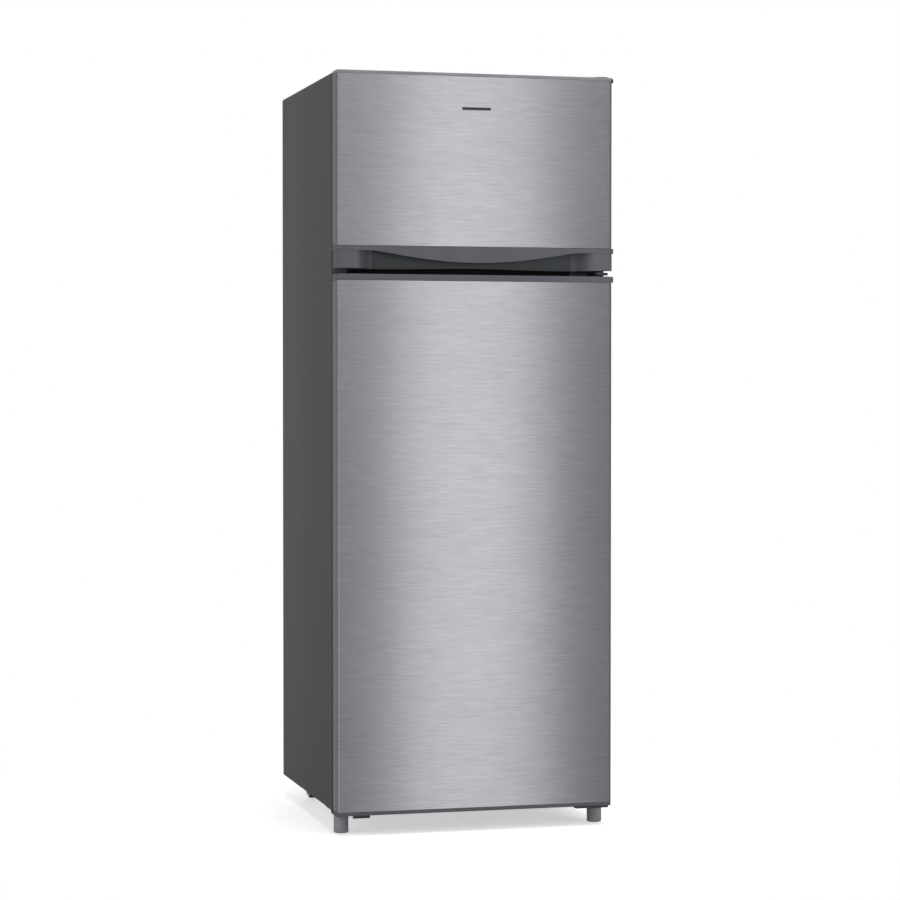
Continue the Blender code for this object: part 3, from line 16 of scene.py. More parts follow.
import bmesh
import bpy
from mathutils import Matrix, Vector


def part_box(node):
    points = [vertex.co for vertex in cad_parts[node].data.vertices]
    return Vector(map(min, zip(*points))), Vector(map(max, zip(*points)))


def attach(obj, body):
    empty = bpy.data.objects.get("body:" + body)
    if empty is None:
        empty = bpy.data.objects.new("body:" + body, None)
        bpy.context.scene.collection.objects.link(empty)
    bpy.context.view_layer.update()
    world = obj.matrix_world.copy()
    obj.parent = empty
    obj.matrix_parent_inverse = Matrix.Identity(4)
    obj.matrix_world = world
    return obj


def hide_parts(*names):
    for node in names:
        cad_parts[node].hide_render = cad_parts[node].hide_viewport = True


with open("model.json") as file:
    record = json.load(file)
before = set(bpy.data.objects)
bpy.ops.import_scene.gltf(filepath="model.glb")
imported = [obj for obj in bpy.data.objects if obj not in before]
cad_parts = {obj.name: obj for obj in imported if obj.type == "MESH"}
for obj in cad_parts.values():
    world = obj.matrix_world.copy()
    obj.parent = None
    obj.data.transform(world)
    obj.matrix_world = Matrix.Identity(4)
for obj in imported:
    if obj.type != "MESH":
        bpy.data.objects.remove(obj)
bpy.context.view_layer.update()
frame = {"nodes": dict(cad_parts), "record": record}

log = logging.getLogger("refrigerator")

MM = 0.001
Point = tuple[float, float]
Place = tuple[float, float, float]
Piece = bpy.types.Object
Tree = bpy.types.NodeTree


# ---------------------------------------------------------------- finishes


def linear(code: str) -> tuple[float, float, float, float]:
    """Turn an sRGB hex colour into linear light.

    Args:
        code: Six hex digits after a hash.

    Returns:
        The colour as red, green, blue and an alpha of 1.
    """
    parts = [int(code[i:i + 2], 16) / 255 for i in (1, 3, 5)]
    values = [c / 12.92 if c <= 0.04045 else ((c + 0.055) / 1.055) ** 2.4 for c in parts]
    return values[0], values[1], values[2], 1.0


def add(tree: Tree, kind: str, inputs: dict | None = None, **settings: object) -> bpy.types.Node:
    """Add a node with its settings and its inputs.

    Args:
        tree: The node tree to add to.
        kind: The node's type name without its "ShaderNode" start.
        inputs: Values or output sockets by the input socket's name or number.
        **settings: Properties of the node itself.

    Returns:
        The new node.
    """
    made = tree.nodes.new("ShaderNode" + kind)
    for name, value in settings.items():
        setattr(made, name, value)
    connect(tree, made, inputs or {})
    return made


def connect(tree: Tree, node: bpy.types.Node, inputs: dict) -> None:
    """Link a node's inputs to output sockets, or set their values.

    Args:
        tree: The node tree that holds the node.
        node: The node.
        inputs: Values or output sockets by the input socket's name or number.
    """
    for key, value in inputs.items():
        if isinstance(value, bpy.types.NodeSocket):
            tree.links.new(value, node.inputs[key])
        else:
            node.inputs[key].default_value = value


class Grain(Enum):
    """How a surface was made, as the stretch of its grain along X, Y and Z."""

    EVEN = (1.0, 1.0, 1.0)
    BRUSHED_ACROSS = (0.03, 0.03, 1.0)
    ROLLED_UP = (1.0, 1.0, 0.05)


# Noise gathers round its middle: these are the ends that fine and broad noise are read between.
FINE_ENDS = {"From Min": 0.3, "From Max": 0.7}
BROAD_ENDS = {"From Min": 0.35, "From Max": 0.65}
SMOOTHEST = 0.02
QUARTER_TURN = 0.25


@dataclass(frozen=True)
class Finish:
    """One finish: its colours, its gloss and the size of its grain in millimetres."""

    name: str
    slot: str
    colour: str
    shade: str
    roughness: float
    spread: float = 0.05
    grain: Grain = Grain.EVEN
    grain_mm: float = 0.8
    relief_mm: float = 0.01
    patch_mm: float = 120.0
    patches: float = 1.0
    streaks: float = 0.0
    specular: float = 0.5
    metallic: float = 0.0
    anisotropic: float = 0.0
    coat: float = 0.0
    transmission: float = 0.0
    ior: float = 1.5
    glow: float = 0.0

    def material(self) -> bpy.types.Material:
        """Build the finish's material once.

        Returns:
            The material, made new the first time and found again later.
        """
        known = bpy.data.materials.get(self.name)
        if known:
            return known
        made = bpy.data.materials.new(self.name)
        made.use_nodes = True
        tree = made.node_tree
        shader = tree.nodes["Principled BSDF"]
        spot = add(tree, "TexCoord").outputs["Object"]
        broad = add(tree, "TexNoise", {"Vector": spot, "Scale": 1 / (self.patch_mm * MM), "Detail": 2.0})
        stretched = add(tree, "Mapping", {"Vector": spot, "Scale": self.grain.value})
        fine = add(tree, "TexNoise", {
            "Vector": stretched.outputs["Vector"], "Scale": 1 / (self.grain_mm * MM), "Detail": 4.0,
            "Roughness": 0.6,
        }).outputs["Fac"]
        tone = add(tree, "MapRange", {
            "Value": fine, **FINE_ENDS, "To Min": -self.streaks, "To Max": self.streaks,
        })
        share = add(tree, "MapRange", {
            "Value": broad.outputs["Fac"], **BROAD_ENDS,
            "To Min": 0.5 - self.patches / 2, "To Max": 0.5 + self.patches / 2,
        })
        both = add(tree, "Math", {0: share.outputs["Result"], 1: tone.outputs["Result"]}, operation="ADD")
        colour = add(tree, "Mix", {
            "Factor": both.outputs["Value"], "A": linear(self.colour), "B": linear(self.shade),
        }, data_type="RGBA")
        gloss = add(tree, "MapRange", {
            "Value": fine, **FINE_ENDS,
            "To Min": max(SMOOTHEST, self.roughness - self.spread), "To Max": self.roughness + self.spread,
        })
        connect(tree, shader, {
            "Base Color": colour.outputs["Result"],
            "Roughness": gloss.outputs["Result"],
            "Metallic": self.metallic,
            "Anisotropic": self.anisotropic,
            "Coat Weight": self.coat,
            "Transmission Weight": self.transmission,
            "IOR": self.ior,
            "Specular IOR Level": self.specular,
        })
        if self.relief_mm:
            relief = add(tree, "Bump", {"Height": fine, "Strength": 0.35, "Distance": self.relief_mm * MM})
            connect(tree, shader, {"Normal": relief.outputs["Normal"]})
        if self.anisotropic:
            turn = add(tree, "Tangent", direction_type="RADIAL", axis="Z")
            connect(tree, shader, {"Anisotropic Rotation": QUARTER_TURN, "Tangent": turn.outputs["Tangent"]})
        if self.glow:
            connect(tree, shader, {"Emission Color": linear(self.colour), "Emission Strength": self.glow})
        return made


# Cold rolled 430 stainless, brushed across and lacquered: fine lines run from side to side, so
# highlights stretch upwards. The real lines are about 0.1 mm; drawn 1.1 mm wide so that they show.
STAINLESS = Finish("brushed_stainless", "stainless", "#d2d3d7", "#b0b1b6", 0.34, 0.02, Grain.BRUSHED_ACROSS,
                   1.1, 0.002, 260.0, 0.1, 0.34, metallic=1.0, anisotropic=0.95)
# Steel sheet with a baked polyester paint: dark grey, satin, with a faint orange peel of about 1 mm.
PAINTED_STEEL = Finish("painted_steel", "painted_steel", "#545457", "#505053", 0.6, 0.05,
                       grain_mm=1.2, relief_mm=0.012, patch_mm=400.0, specular=0.3)
# Injection moulded ABS with a metallic grey satin lacquer.
TRIM = Finish("trim_abs", "grey_trim", "#57585e", "#525359", 0.42, 0.04, grain_mm=0.5, relief_mm=0.005,
              patch_mm=90.0, metallic=0.25, specular=0.4)
# The same ABS, painted lighter as the light that falls on the cap at the very top.
TOP_CAP = Finish("cap_abs_painted_light", "grey_trim", "#85868b", "#7f8085", 0.42, 0.04, grain_mm=0.5, relief_mm=0.005,
                 patch_mm=90.0, metallic=0.3, specular=0.4)
# The same ABS, painted dark and greenish as the shade deep in the finger pocket, and a little glossier.
POCKET_SHADE = Finish("pocket_painted_shade", "grey_trim", "#2a2f33", "#262b2f", 0.34, 0.04, grain_mm=0.5, relief_mm=0.004,
                patch_mm=90.0)
# Near black on the strip between the two openings, which only shows through the doors' gap: painted shade,
# darker than the strip's own grey paint, so that the gap reads black.
GAP_SHADE = Finish("gap_painted_shade", "painted_steel", "#19191b", "#141416", 0.7, 0.05, grain_mm=1.0,
                relief_mm=0.01, patch_mm=60.0, specular=0.2)
# Spark eroded polypropylene of the feet: mid grey and matt.
FOOT_PLASTIC = Finish("foot_polypropylene", "foot_grey", "#85868a", "#7b7c80", 0.6, 0.06, grain_mm=0.7,
                      relief_mm=0.02, patch_mm=20.0)
# Vacuum formed high impact polystyrene: white, soft gloss, very slightly uneven from the stretch.
LINER = Finish("liner_polystyrene", "white_liner", "#e9ebec", "#e2e5e7", 0.3, 0.04, grain_mm=2.5,
               relief_mm=0.012, patch_mm=150.0, coat=0.15)
# Injection moulded clear polystyrene of the bins and the drawer.
CLEAR = Finish("clear_polystyrene", "clear_plastic", "#eef4f6", "#e6eff2", 0.07, 0.02, grain_mm=4.0,
               relief_mm=0.01, patch_mm=80.0, transmission=0.92, ior=1.49)
# Toughened float glass with its green tint.
GLASS = Finish("shelf_glass", "shelf_glass", "#e3f1ec", "#dcede7", 0.03, 0.01, grain_mm=6.0, relief_mm=0.0,
               patch_mm=200.0, transmission=0.95)
# Soft PVC extrusion of the door seals, and the rubber of the compressor's bushes: grey, matt, a little dusty.
SEAL = Finish("seal_pvc", "gasket_rubber", "#3a3b3e", "#323336", 0.62, 0.06, grain_mm=0.6, relief_mm=0.015,
              patch_mm=40.0)
# Cut polyurethane foam: yellow, matt, open cells of about 0.6 mm.
FOAM = Finish("polyurethane_foam", "foam", "#dcc791", "#cdb57a", 0.9, 0.05, grain_mm=0.6, relief_mm=0.2,
              patch_mm=25.0)
# Zinc plated pressed steel: pale grey with a faint spangle of a few millimetres.
ZINC = Finish("zinc_plated_steel", "zinc_steel", "#b9bbbd", "#a9acaf", 0.42, 0.06, grain_mm=3.5,
              relief_mm=0.006, patch_mm=45.0, streaks=0.25, metallic=1.0)
# Dark chromated steel of the hinges, the foot brackets and the badge bar.
DARK_STEEL = Finish("chromated_steel", "zinc_steel", "#56575b", "#4a4b4f", 0.4, 0.06, grain_mm=1.5,
                    relief_mm=0.01, patch_mm=25.0, metallic=0.85)
# Dip coated black enamel of the compressor and the condenser: slightly wavy gloss.
ENAMEL = Finish("black_enamel", "black_enamel", "#1b1c1e", "#141517", 0.34, 0.07, grain_mm=2.0,
                relief_mm=0.02, patch_mm=40.0, coat=0.2)
# Drawn copper tube with a thin brown oxide in patches.
COPPER = Finish("drawn_copper", "copper", "#c87f5c", "#a6643f", 0.3, 0.07, Grain.ROLLED_UP, 0.8, 0.01, 18.0,
                1.0, 0.2, metallic=1.0)
# Rolled aluminium sheet.
ALUMINIUM = Finish("rolled_aluminium", "aluminium", "#c9cbcd", "#bec1c4", 0.33, 0.06, Grain.BRUSHED_ACROSS,
                   1.0, 0.006, 60.0, 0.4, 0.4, metallic=1.0)
# Black polypropylene of covers, rollers and the drip tray.
BLACK_PLASTIC = Finish("black_polypropylene", "black_plastic", "#232426", "#1d1e20", 0.5, 0.06,
                       grain_mm=0.7, relief_mm=0.015, patch_mm=30.0)
# Frosted lamp glass, with a faint glow for the light that its coating scatters.
BULB = Finish("frosted_bulb", "bulb_glass", "#f4f0e4", "#eee9da", 0.35, 0.04, grain_mm=1.0,
              relief_mm=0.004, patch_mm=15.0, glow=0.25)
# Printed marks on the thermostat's dial.
MARK = Finish("dial_print", "black_plastic", "#4c5560", "#465059", 0.5, 0.03, grain_mm=0.4, relief_mm=0.0,
              patch_mm=10.0)


# ---------------------------------------------------------------- spans and outlines


def spans(node: str) -> tuple[Point, Point, Point]:
    """Return a node's low and high ends along X, Y and Z."""
    low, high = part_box(node)
    return (low[0], high[0]), (low[1], high[1]), (low[2], high[2])


def joint_place(name: str) -> Vector:
    """Return the place of a joint's axis.

    Args:
        name: The joint's name.

    Returns:
        Its place at rest.
    """
    joints = frame["record"]["behaviour"]["joints"]
    return Vector(next(joint["pos_m"] for joint in joints if joint["name"] == name))


def middle_of(ends: Point) -> float:
    """Return the middle of a span."""
    return (ends[0] + ends[1]) / 2


def part_way(ends: Point, share: float) -> float:
    """Return the place a share of the way along a span."""
    return ends[0] + (ends[1] - ends[0]) * share


def around(middle: float, half: float) -> Point:
    """Return the span that reaches half its length to both sides of a middle."""
    return middle - half, middle + half


def shrunk(ends: Point, inset: float) -> Point:
    """Return a span that starts later and ends earlier by an inset."""
    return ends[0] + inset, ends[1] - inset


def steps(start: float, *pairs: Point) -> list[Point]:
    """Turn pairs of millimetres into points of a profile.

    Args:
        start: The place that the second numbers count from, in metres.
        *pairs: A radius, an inset or a place, and a distance from the start.

    Returns:
        The points in metres.
    """
    return [(a * MM, start + b * MM) for a, b in pairs]


def arc(centre: Point, radius: float, start: float, end: float, count: int) -> list[Point]:
    """Return points along an arc.

    Args:
        centre: The arc's centre.
        radius: Its radius in metres.
        start: The first angle in degrees.
        end: The last angle in degrees.
        count: How many straight steps it has.

    Returns:
        The points, one more than the steps.
    """
    turns = [math.radians(start + (end - start) * i / count) for i in range(count + 1)]
    return [(centre[0] + radius * math.cos(t), centre[1] + radius * math.sin(t)) for t in turns]


def rounded(a: Point, b: Point, radius: float, count: int = 6) -> list[Point]:
    """Return a rectangle with round corners.

    Args:
        a: The low and high ends of its first axis.
        b: The low and high ends of its second axis.
        radius: The corners' radius.
        count: The straight steps in each corner.

    Returns:
        The outline, starting at the upper right corner.
    """
    (left, right), (low, high) = shrunk(a, radius), shrunk(b, radius)
    corners = ((right, high), (left, high), (left, low), (right, low))
    return [point for i, corner in enumerate(corners)
            for point in arc(corner, radius, 90 * i, 90 * (i + 1), count)]


def at(axis: str, a: float, b: float, along: float) -> Vector:
    """Return the 3-D point of a 2-D point placed at a distance along an axis."""
    return Vector({"X": (along, a, b), "Y": (a, along, b), "Z": (a, b, along)}[axis])


def flat_ring(outline: Sequence[Point], axis: str, along: float) -> list[Vector]:
    """Return an outline as 3-D points at a distance along an axis."""
    return [at(axis, a, b, along) for a, b in outline]


# ---------------------------------------------------------------- modelling


def deselect() -> None:
    """Leave edit mode and select nothing."""
    if bpy.context.object and bpy.context.object.mode != "OBJECT":
        bpy.ops.object.mode_set(mode="OBJECT")
    bpy.ops.object.select_all(action="DESELECT")


def only(piece: Piece) -> None:
    """Make a piece the one selected and active object.

    Args:
        piece: The piece.
    """
    deselect()
    piece.select_set(True)
    bpy.context.view_layer.objects.active = piece


def named(name: str) -> Piece:
    """Name the active object and its mesh.

    Args:
        name: The name of both.

    Returns:
        The active object.
    """
    piece = bpy.context.object
    piece.name = name
    piece.data.name = name
    return piece


def close_up(piece: Piece) -> Piece:
    """Merge a piece's doubles and turn its faces outwards.

    Args:
        piece: The piece.

    Returns:
        The piece.
    """
    only(piece)
    bpy.ops.object.mode_set(mode="EDIT")
    bpy.ops.mesh.select_all(action="SELECT")
    bpy.ops.mesh.remove_doubles(threshold=0.01 * MM)
    bpy.ops.mesh.normals_make_consistent(inside=False)
    bpy.ops.object.mode_set(mode="OBJECT")
    return piece


def block(name: str, x: Point, y: Point, z: Point) -> Piece:
    """Add a cube stretched to the given spans.

    Args:
        name: The new piece's name.
        x: Its span along X.
        y: Its span along Y.
        z: Its span along Z.

    Returns:
        The block, with its place in its mesh.
    """
    deselect()
    bpy.ops.mesh.primitive_cube_add(size=1.0, location=[middle_of(ends) for ends in (x, y, z)])
    piece = named(name)
    piece.scale = [abs(ends[1] - ends[0]) for ends in (x, y, z)]
    bpy.ops.object.transform_apply(location=True, rotation=True, scale=True)
    return piece


def loft(name: str, rings: Sequence[Sequence[Vector]], closed: bool = False) -> Piece:
    """Lay a circle on the first ring, extrude it to each next ring, and close the ends.

    Args:
        name: The new piece's name.
        rings: Rings with the same number of points.
        closed: Whether the last ring is bridged to the first one.

    Returns:
        The lofted piece.
    """
    deselect()
    bpy.ops.mesh.primitive_circle_add(vertices=len(rings[0]), fill_type="NOTHING")
    piece = named(name)
    for vertex, point in zip(piece.data.vertices, rings[0]):
        vertex.co = point
    bpy.ops.object.mode_set(mode="EDIT")
    bpy.ops.mesh.select_all(action="SELECT")
    shape = bmesh.from_edit_mesh(piece.data)
    order = {tuple(vertex.co): i for i, vertex in enumerate(shape.verts)}
    for ring in rings[1:]:
        bpy.ops.mesh.extrude_region_move()
        shape = bmesh.from_edit_mesh(piece.data)
        moved = [(vertex, order[tuple(vertex.co)]) for vertex in shape.verts if vertex.select]
        order = {}
        for vertex, i in moved:
            vertex.co = ring[i]
            order[tuple(vertex.co)] = i
    if not closed:
        bpy.ops.mesh.edge_face_add()
    bpy.ops.mesh.select_all(action="DESELECT")
    bpy.ops.mesh.select_mode(type="EDGE")
    bpy.ops.mesh.select_non_manifold(extend=False)
    if closed:
        bpy.ops.mesh.bridge_edge_loops()
    else:
        bpy.ops.mesh.edge_face_add()
    bpy.ops.object.mode_set(mode="OBJECT")
    return close_up(piece)


def slab(name: str, outline: Sequence[Point], axis: str, ends: Point) -> Piece:
    """Extrude an outline along an axis."""
    return loft(name, [flat_ring(outline, axis, along) for along in ends])


def tile(name: str, a: Point, b: Point, radius: float, axis: str, ends: Point, count: int = 6) -> Piece:
    """Extrude a rectangle with round corners along an axis.

    Args:
        name: The new piece's name.
        a: The rectangle's span along its first axis.
        b: Its span along its second axis.
        radius: The corners' radius.
        axis: The axis that it is extruded along.
        ends: Where it starts and ends along that axis.
        count: The straight steps in each corner.

    Returns:
        The piece.
    """
    return slab(name, rounded(a, b, radius, count), axis, ends)


def tub(name: str, x: Point, y: Point, corner: float, profile: Sequence[Point]) -> Piece:
    """Loft an open tub from its foot up over its rim and down inside.

    Args:
        name: The new piece's name.
        x: Its outer span along X.
        y: Its outer span along Y.
        corner: The outer corners' radius.
        profile: Points of inset and height, in the order in which they are lofted.

    Returns:
        The tub.
    """
    return loft(name, [
        flat_ring(rounded(shrunk(x, inset), shrunk(y, inset), corner - inset), "Z", height)
        for inset, height in profile
    ])


def lathe(name: str, profile: Sequence[Point], axis: str, centre: Point, sides: int = 32,
          closed: bool = False) -> Piece:
    """Turn a profile of radius and distance round an axis.

    Args:
        name: The new piece's name.
        profile: Points of radius and distance along the axis.
        axis: X, Y or Z.
        centre: Where the axis passes, in the other two axes.
        sides: How many sides the circle has.
        closed: Whether the profile is a closed loop, as on a ring.

    Returns:
        The turned piece.
    """
    turns = [2 * math.pi * i / sides for i in range(sides)]
    return loft(name, [
        [at(axis, centre[0] + r * math.cos(t), centre[1] + r * math.sin(t), along) for t in turns]
        for r, along in profile
    ], closed)


def rod(name: str, radius: float, ends: Point, axis: str, centre: Point, sides: int = 24) -> Piece:
    """Turn a plain round bar, for bores that are cut into other pieces and for thin wires."""
    return lathe(name, [(radius, along) for along in ends], axis, centre, sides)


def pipe(name: str, points: Sequence[Vector], radius: float, sides: int = 4) -> Piece:
    """Run a round tube along points, as a path with a bevel, and make it a mesh.

    Args:
        name: The new piece's name.
        points: The points of the tube's middle line.
        radius: The tube's radius.
        sides: The bevel's resolution.

    Returns:
        The tube as a mesh.
    """
    deselect()
    bpy.ops.curve.primitive_nurbs_path_add()
    curve = bpy.context.object.data
    curve.splines.clear()
    spline = curve.splines.new("POLY")
    spline.points.add(len(points) - 1)
    for target, point in zip(spline.points, points):
        target.co = (*point, 1.0)
    curve.bevel_depth = radius
    curve.bevel_resolution = sides
    curve.use_fill_caps = True
    bpy.ops.object.convert(target="MESH")
    return close_up(named(name))


def bend(route: Sequence[Sequence[float]], radius: float, count: int = 8) -> list[Vector]:
    """Round the corners of a route of 3-D points.

    Args:
        route: The corner points.
        radius: How far before a corner its bend starts.
        count: The straight steps in each bend.

    Returns:
        The route with smooth corners.
    """
    points = [Vector(route[0])]
    for before, corner, after in zip(route, route[1:], route[2:]):
        middle = Vector(corner)
        start = middle + (Vector(before) - middle).normalized() * radius
        end = middle + (Vector(after) - middle).normalized() * radius
        for i in range(count + 1):
            t = i / count
            points.append(start * (1 - t) ** 2 + middle * 2 * t * (1 - t) + end * t ** 2)
    return points + [Vector(route[-1])]


def modified(piece: Piece, kind: str, **settings: object) -> Piece:
    """Give a piece a modifier and apply it.

    Args:
        piece: The piece.
        kind: The modifier's type.
        **settings: The modifier's properties.

    Returns:
        The piece.
    """
    only(piece)
    modifier = piece.modifiers.new(kind, kind)
    for name, value in settings.items():
        setattr(modifier, name, value)
    bpy.ops.object.modifier_apply(modifier=modifier.name)
    return piece


def carve(piece: Piece, *others: Piece, how: str = "DIFFERENCE") -> Piece:
    """Cut other pieces out of a piece and remove them.

    Args:
        piece: The piece that stays.
        *others: The pieces that cut.
        how: The Boolean modifier's operation.

    Returns:
        The piece.
    """
    for other in others:
        modified(piece, "BOOLEAN", operation=how, solver="EXACT", object=other)
        bpy.data.objects.remove(other)
    return piece


def fuse(piece: Piece, *others: Piece) -> Piece:
    """Fuse other pieces to a piece and remove them."""
    return carve(piece, *others, how="UNION")


def bevel(piece: Piece, width_mm: float, segments: int = 2, angle: float = 40.0) -> Piece:
    """Round a piece's sharp edges.

    Args:
        piece: The piece.
        width_mm: The bevel's width in millimetres.
        segments: How many faces the bevel has.
        angle: The smallest angle in degrees between faces that is rounded.

    Returns:
        The piece.
    """
    return modified(piece, "BEVEL", width=width_mm * MM, segments=segments, limit_method="ANGLE",
                    angle_limit=math.radians(angle))


def joined(name: str, pieces: Iterable[Piece]) -> Piece:
    """Put several pieces into one object, each still a body of its own.

    Args:
        name: The object's name.
        pieces: The pieces.

    Returns:
        The object.
    """
    parts = list(pieces)
    only(parts[0])
    for part in parts:
        part.select_set(True)
    bpy.ops.object.join()
    return named(name)


def copied(piece: Piece, places: Iterable[Sequence[float]]) -> list[Piece]:
    """Copy a piece, each copy with its own mesh, to several places, and remove the first one.

    Args:
        piece: The piece.
        places: How far each copy is moved.

    Returns:
        The copies.
    """
    copies = []
    for move in places:
        only(piece)
        bpy.ops.object.duplicate()
        bpy.ops.transform.translate(value=move)
        bpy.ops.object.transform_apply(location=True, rotation=True, scale=True)
        copies.append(bpy.context.object)
    bpy.data.objects.remove(piece)
    return copies


def place(piece: Piece, body: str, finish: Finish, replaced: Sequence[str] = (),
          smooth: float = 35.0) -> Piece:
    """Dress a finished piece, shade it and let it ride on its body.

    Args:
        piece: The piece.
        body: The body that it moves with.
        finish: Its finish.
        replaced: The nodes that it stands for.
        smooth: The angle in degrees below which edges are shaded smooth.

    Returns:
        The piece.
    """
    only(piece)
    bpy.ops.object.shade_smooth_by_angle(angle=math.radians(smooth))
    piece.data.materials.clear()
    piece.data.materials.append(finish.material())
    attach(piece, body)
    if replaced:
        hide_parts(*replaced)
    log.info("%s rides on %s in %s", piece.name, body, finish.name)
    return piece


def dress(finish: Finish, *nodes: str) -> None:
    """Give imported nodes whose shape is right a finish.

    Args:
        finish: The finish.
        *nodes: The nodes, which keep their own meshes.
    """
    for node in nodes:
        mesh = frame["nodes"][node].data
        mesh.materials.clear()
        mesh.materials.append(finish.material())
        log.info("%s keeps its shape in %s", node, finish.name)


def screw(axis: str, centre: Point, face: float, out: float, radius: float = 3.6 * MM) -> Piece:
    """Model a pan head screw with a cross recess.

    Args:
        axis: The screw's axis.
        centre: Where the axis passes, in the other two axes.
        face: The place along the axis of the face that it holds down.
        out: 1 or -1, the way that its head stands out.
        radius: The head's radius.

    Returns:
        The screw.
    """
    height = radius * 0.55
    slot_half = radius * 0.13
    reach = radius * 0.6
    head = lathe("screw", [
        (radius * wide, face + out * height * high)
        for wide, high in ((0.97, 0.0), (1.0, 0.35), (0.86, 0.75), (0.55, 1.0))
    ], axis, centre, 20)
    depth = sorted((face + out * height * 0.45, face + out * (height + 2 * MM)))
    for wide, tall in ((reach, slot_half), (slot_half, reach)):
        slot = (around(centre[0], wide), around(centre[1], tall))
        carve(head, tile("recess", *slot, slot_half / 3, axis, depth, 1))
    return head


# ---------------------------------------------------------------- the shared plan


@dataclass(frozen=True)
class Plan:
    """The planes and axes that most pieces share, read from the frame."""

    side: float = spans("cabinet_wrap")[0][1]
    front: float = spans("fridge_door_skin")[1][0]
    door_back: float = spans("fridge_door_skin")[1][1]
    cabinet_front: float = spans("cabinet_wrap")[1][0]
    cabinet_back: float = spans("cabinet_wrap")[1][1]
    cabinet_bottom: float = spans("cabinet_wrap")[2][0]
    top: float = spans("cabinet_wrap")[2][1]
    hinge: Point = tuple(joint_place("fridge_door_hinge")[:2])
    edge: float = 6 * MM
    knuckle: float = 24 * MM
    sweep: float = 25.9 * MM
    hinge_bore: float = 3.8 * MM
    flange: float = 30 * MM
    clear: float = 0.3 * MM

    def door(self, inset: float = 0.0, back: float | None = None, knuckle: bool = False,
             ledge: bool = False) -> list[Point]:
        """Return a door's outline from above.

        Args:
            inset: How far it is shrunk at the front and the sides.
            back: Where it ends at the back.
            knuckle: Whether it bulges round the hinge's axis on the right.
            ledge: Whether that bulge also stands out in front, as far as the opening door has room.

        Returns:
            The outline, from the back left corner round the front.
        """
        back = self.door_back if back is None else back
        half = self.side - inset
        front = self.front + inset
        radius = self.edge - inset
        outline = arc((radius - half, front + radius), radius, 180, 270, 8)
        if ledge:
            start = math.degrees(math.asin((self.hinge[1] - front) / self.sweep))
            flat = math.degrees(math.acos(self.knuckle / self.sweep))
            outline += arc(self.hinge, self.sweep, -start, -flat, 8)
            outline += arc(self.hinge, self.sweep, flat, 45, 4)
            return outline + [(half, back), (-half, back)]
        outline += arc((half - radius, front + radius), radius, 270, 360, 8)
        if knuckle:
            reach = self.knuckle - inset
            turn = math.degrees(math.acos((half - self.hinge[0]) / reach)) - 0.5
            outline += arc(self.hinge, reach, -turn, turn, 14)
        return outline + [(half, back), (-half, back)]


@dataclass(frozen=True)
class Space:
    """One compartment's inner sizes."""

    half: float
    floor: float
    ceiling: float
    back: float


PLAN = Plan()
# The compartments' inner sizes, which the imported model's liners have behind their flanges.
FREEZER = Space(217.5 * MM, 1085.25 * MM, 1370 * MM, 190 * MM)
FRIDGE = Space(229.5 * MM, 85 * MM, 1019.25 * MM, 210 * MM)
# Thickness of the formed liners, the hinge cover and the straps' legs.
SHEET = 1.5 * MM


# ---------------------------------------------------------------- studio


@dataclass(frozen=True)
class SoftBox:
    """One soft lamp: its middle, the point that it faces, its size and its power in watts."""

    name: str
    middle: Place
    aim: Place
    size: Point
    power: float
    mirrored: bool = True

    def hang(self) -> None:
        """Hang the lamp, which glossy surfaces show only where it is mirrored."""
        deselect()
        bpy.ops.object.light_add(type="AREA", location=self.middle)
        lamp = bpy.context.object
        lamp.name = self.name
        lamp.data.shape = "RECTANGLE"
        lamp.data.size, lamp.data.size_y = self.size
        lamp.data.energy = self.power
        lamp.visible_glossy = self.mirrored
        lamp.visible_camera = False
        way = Vector(self.aim) - Vector(self.middle)
        lamp.rotation_euler = way.to_track_quat("-Z", "Y").to_euler()


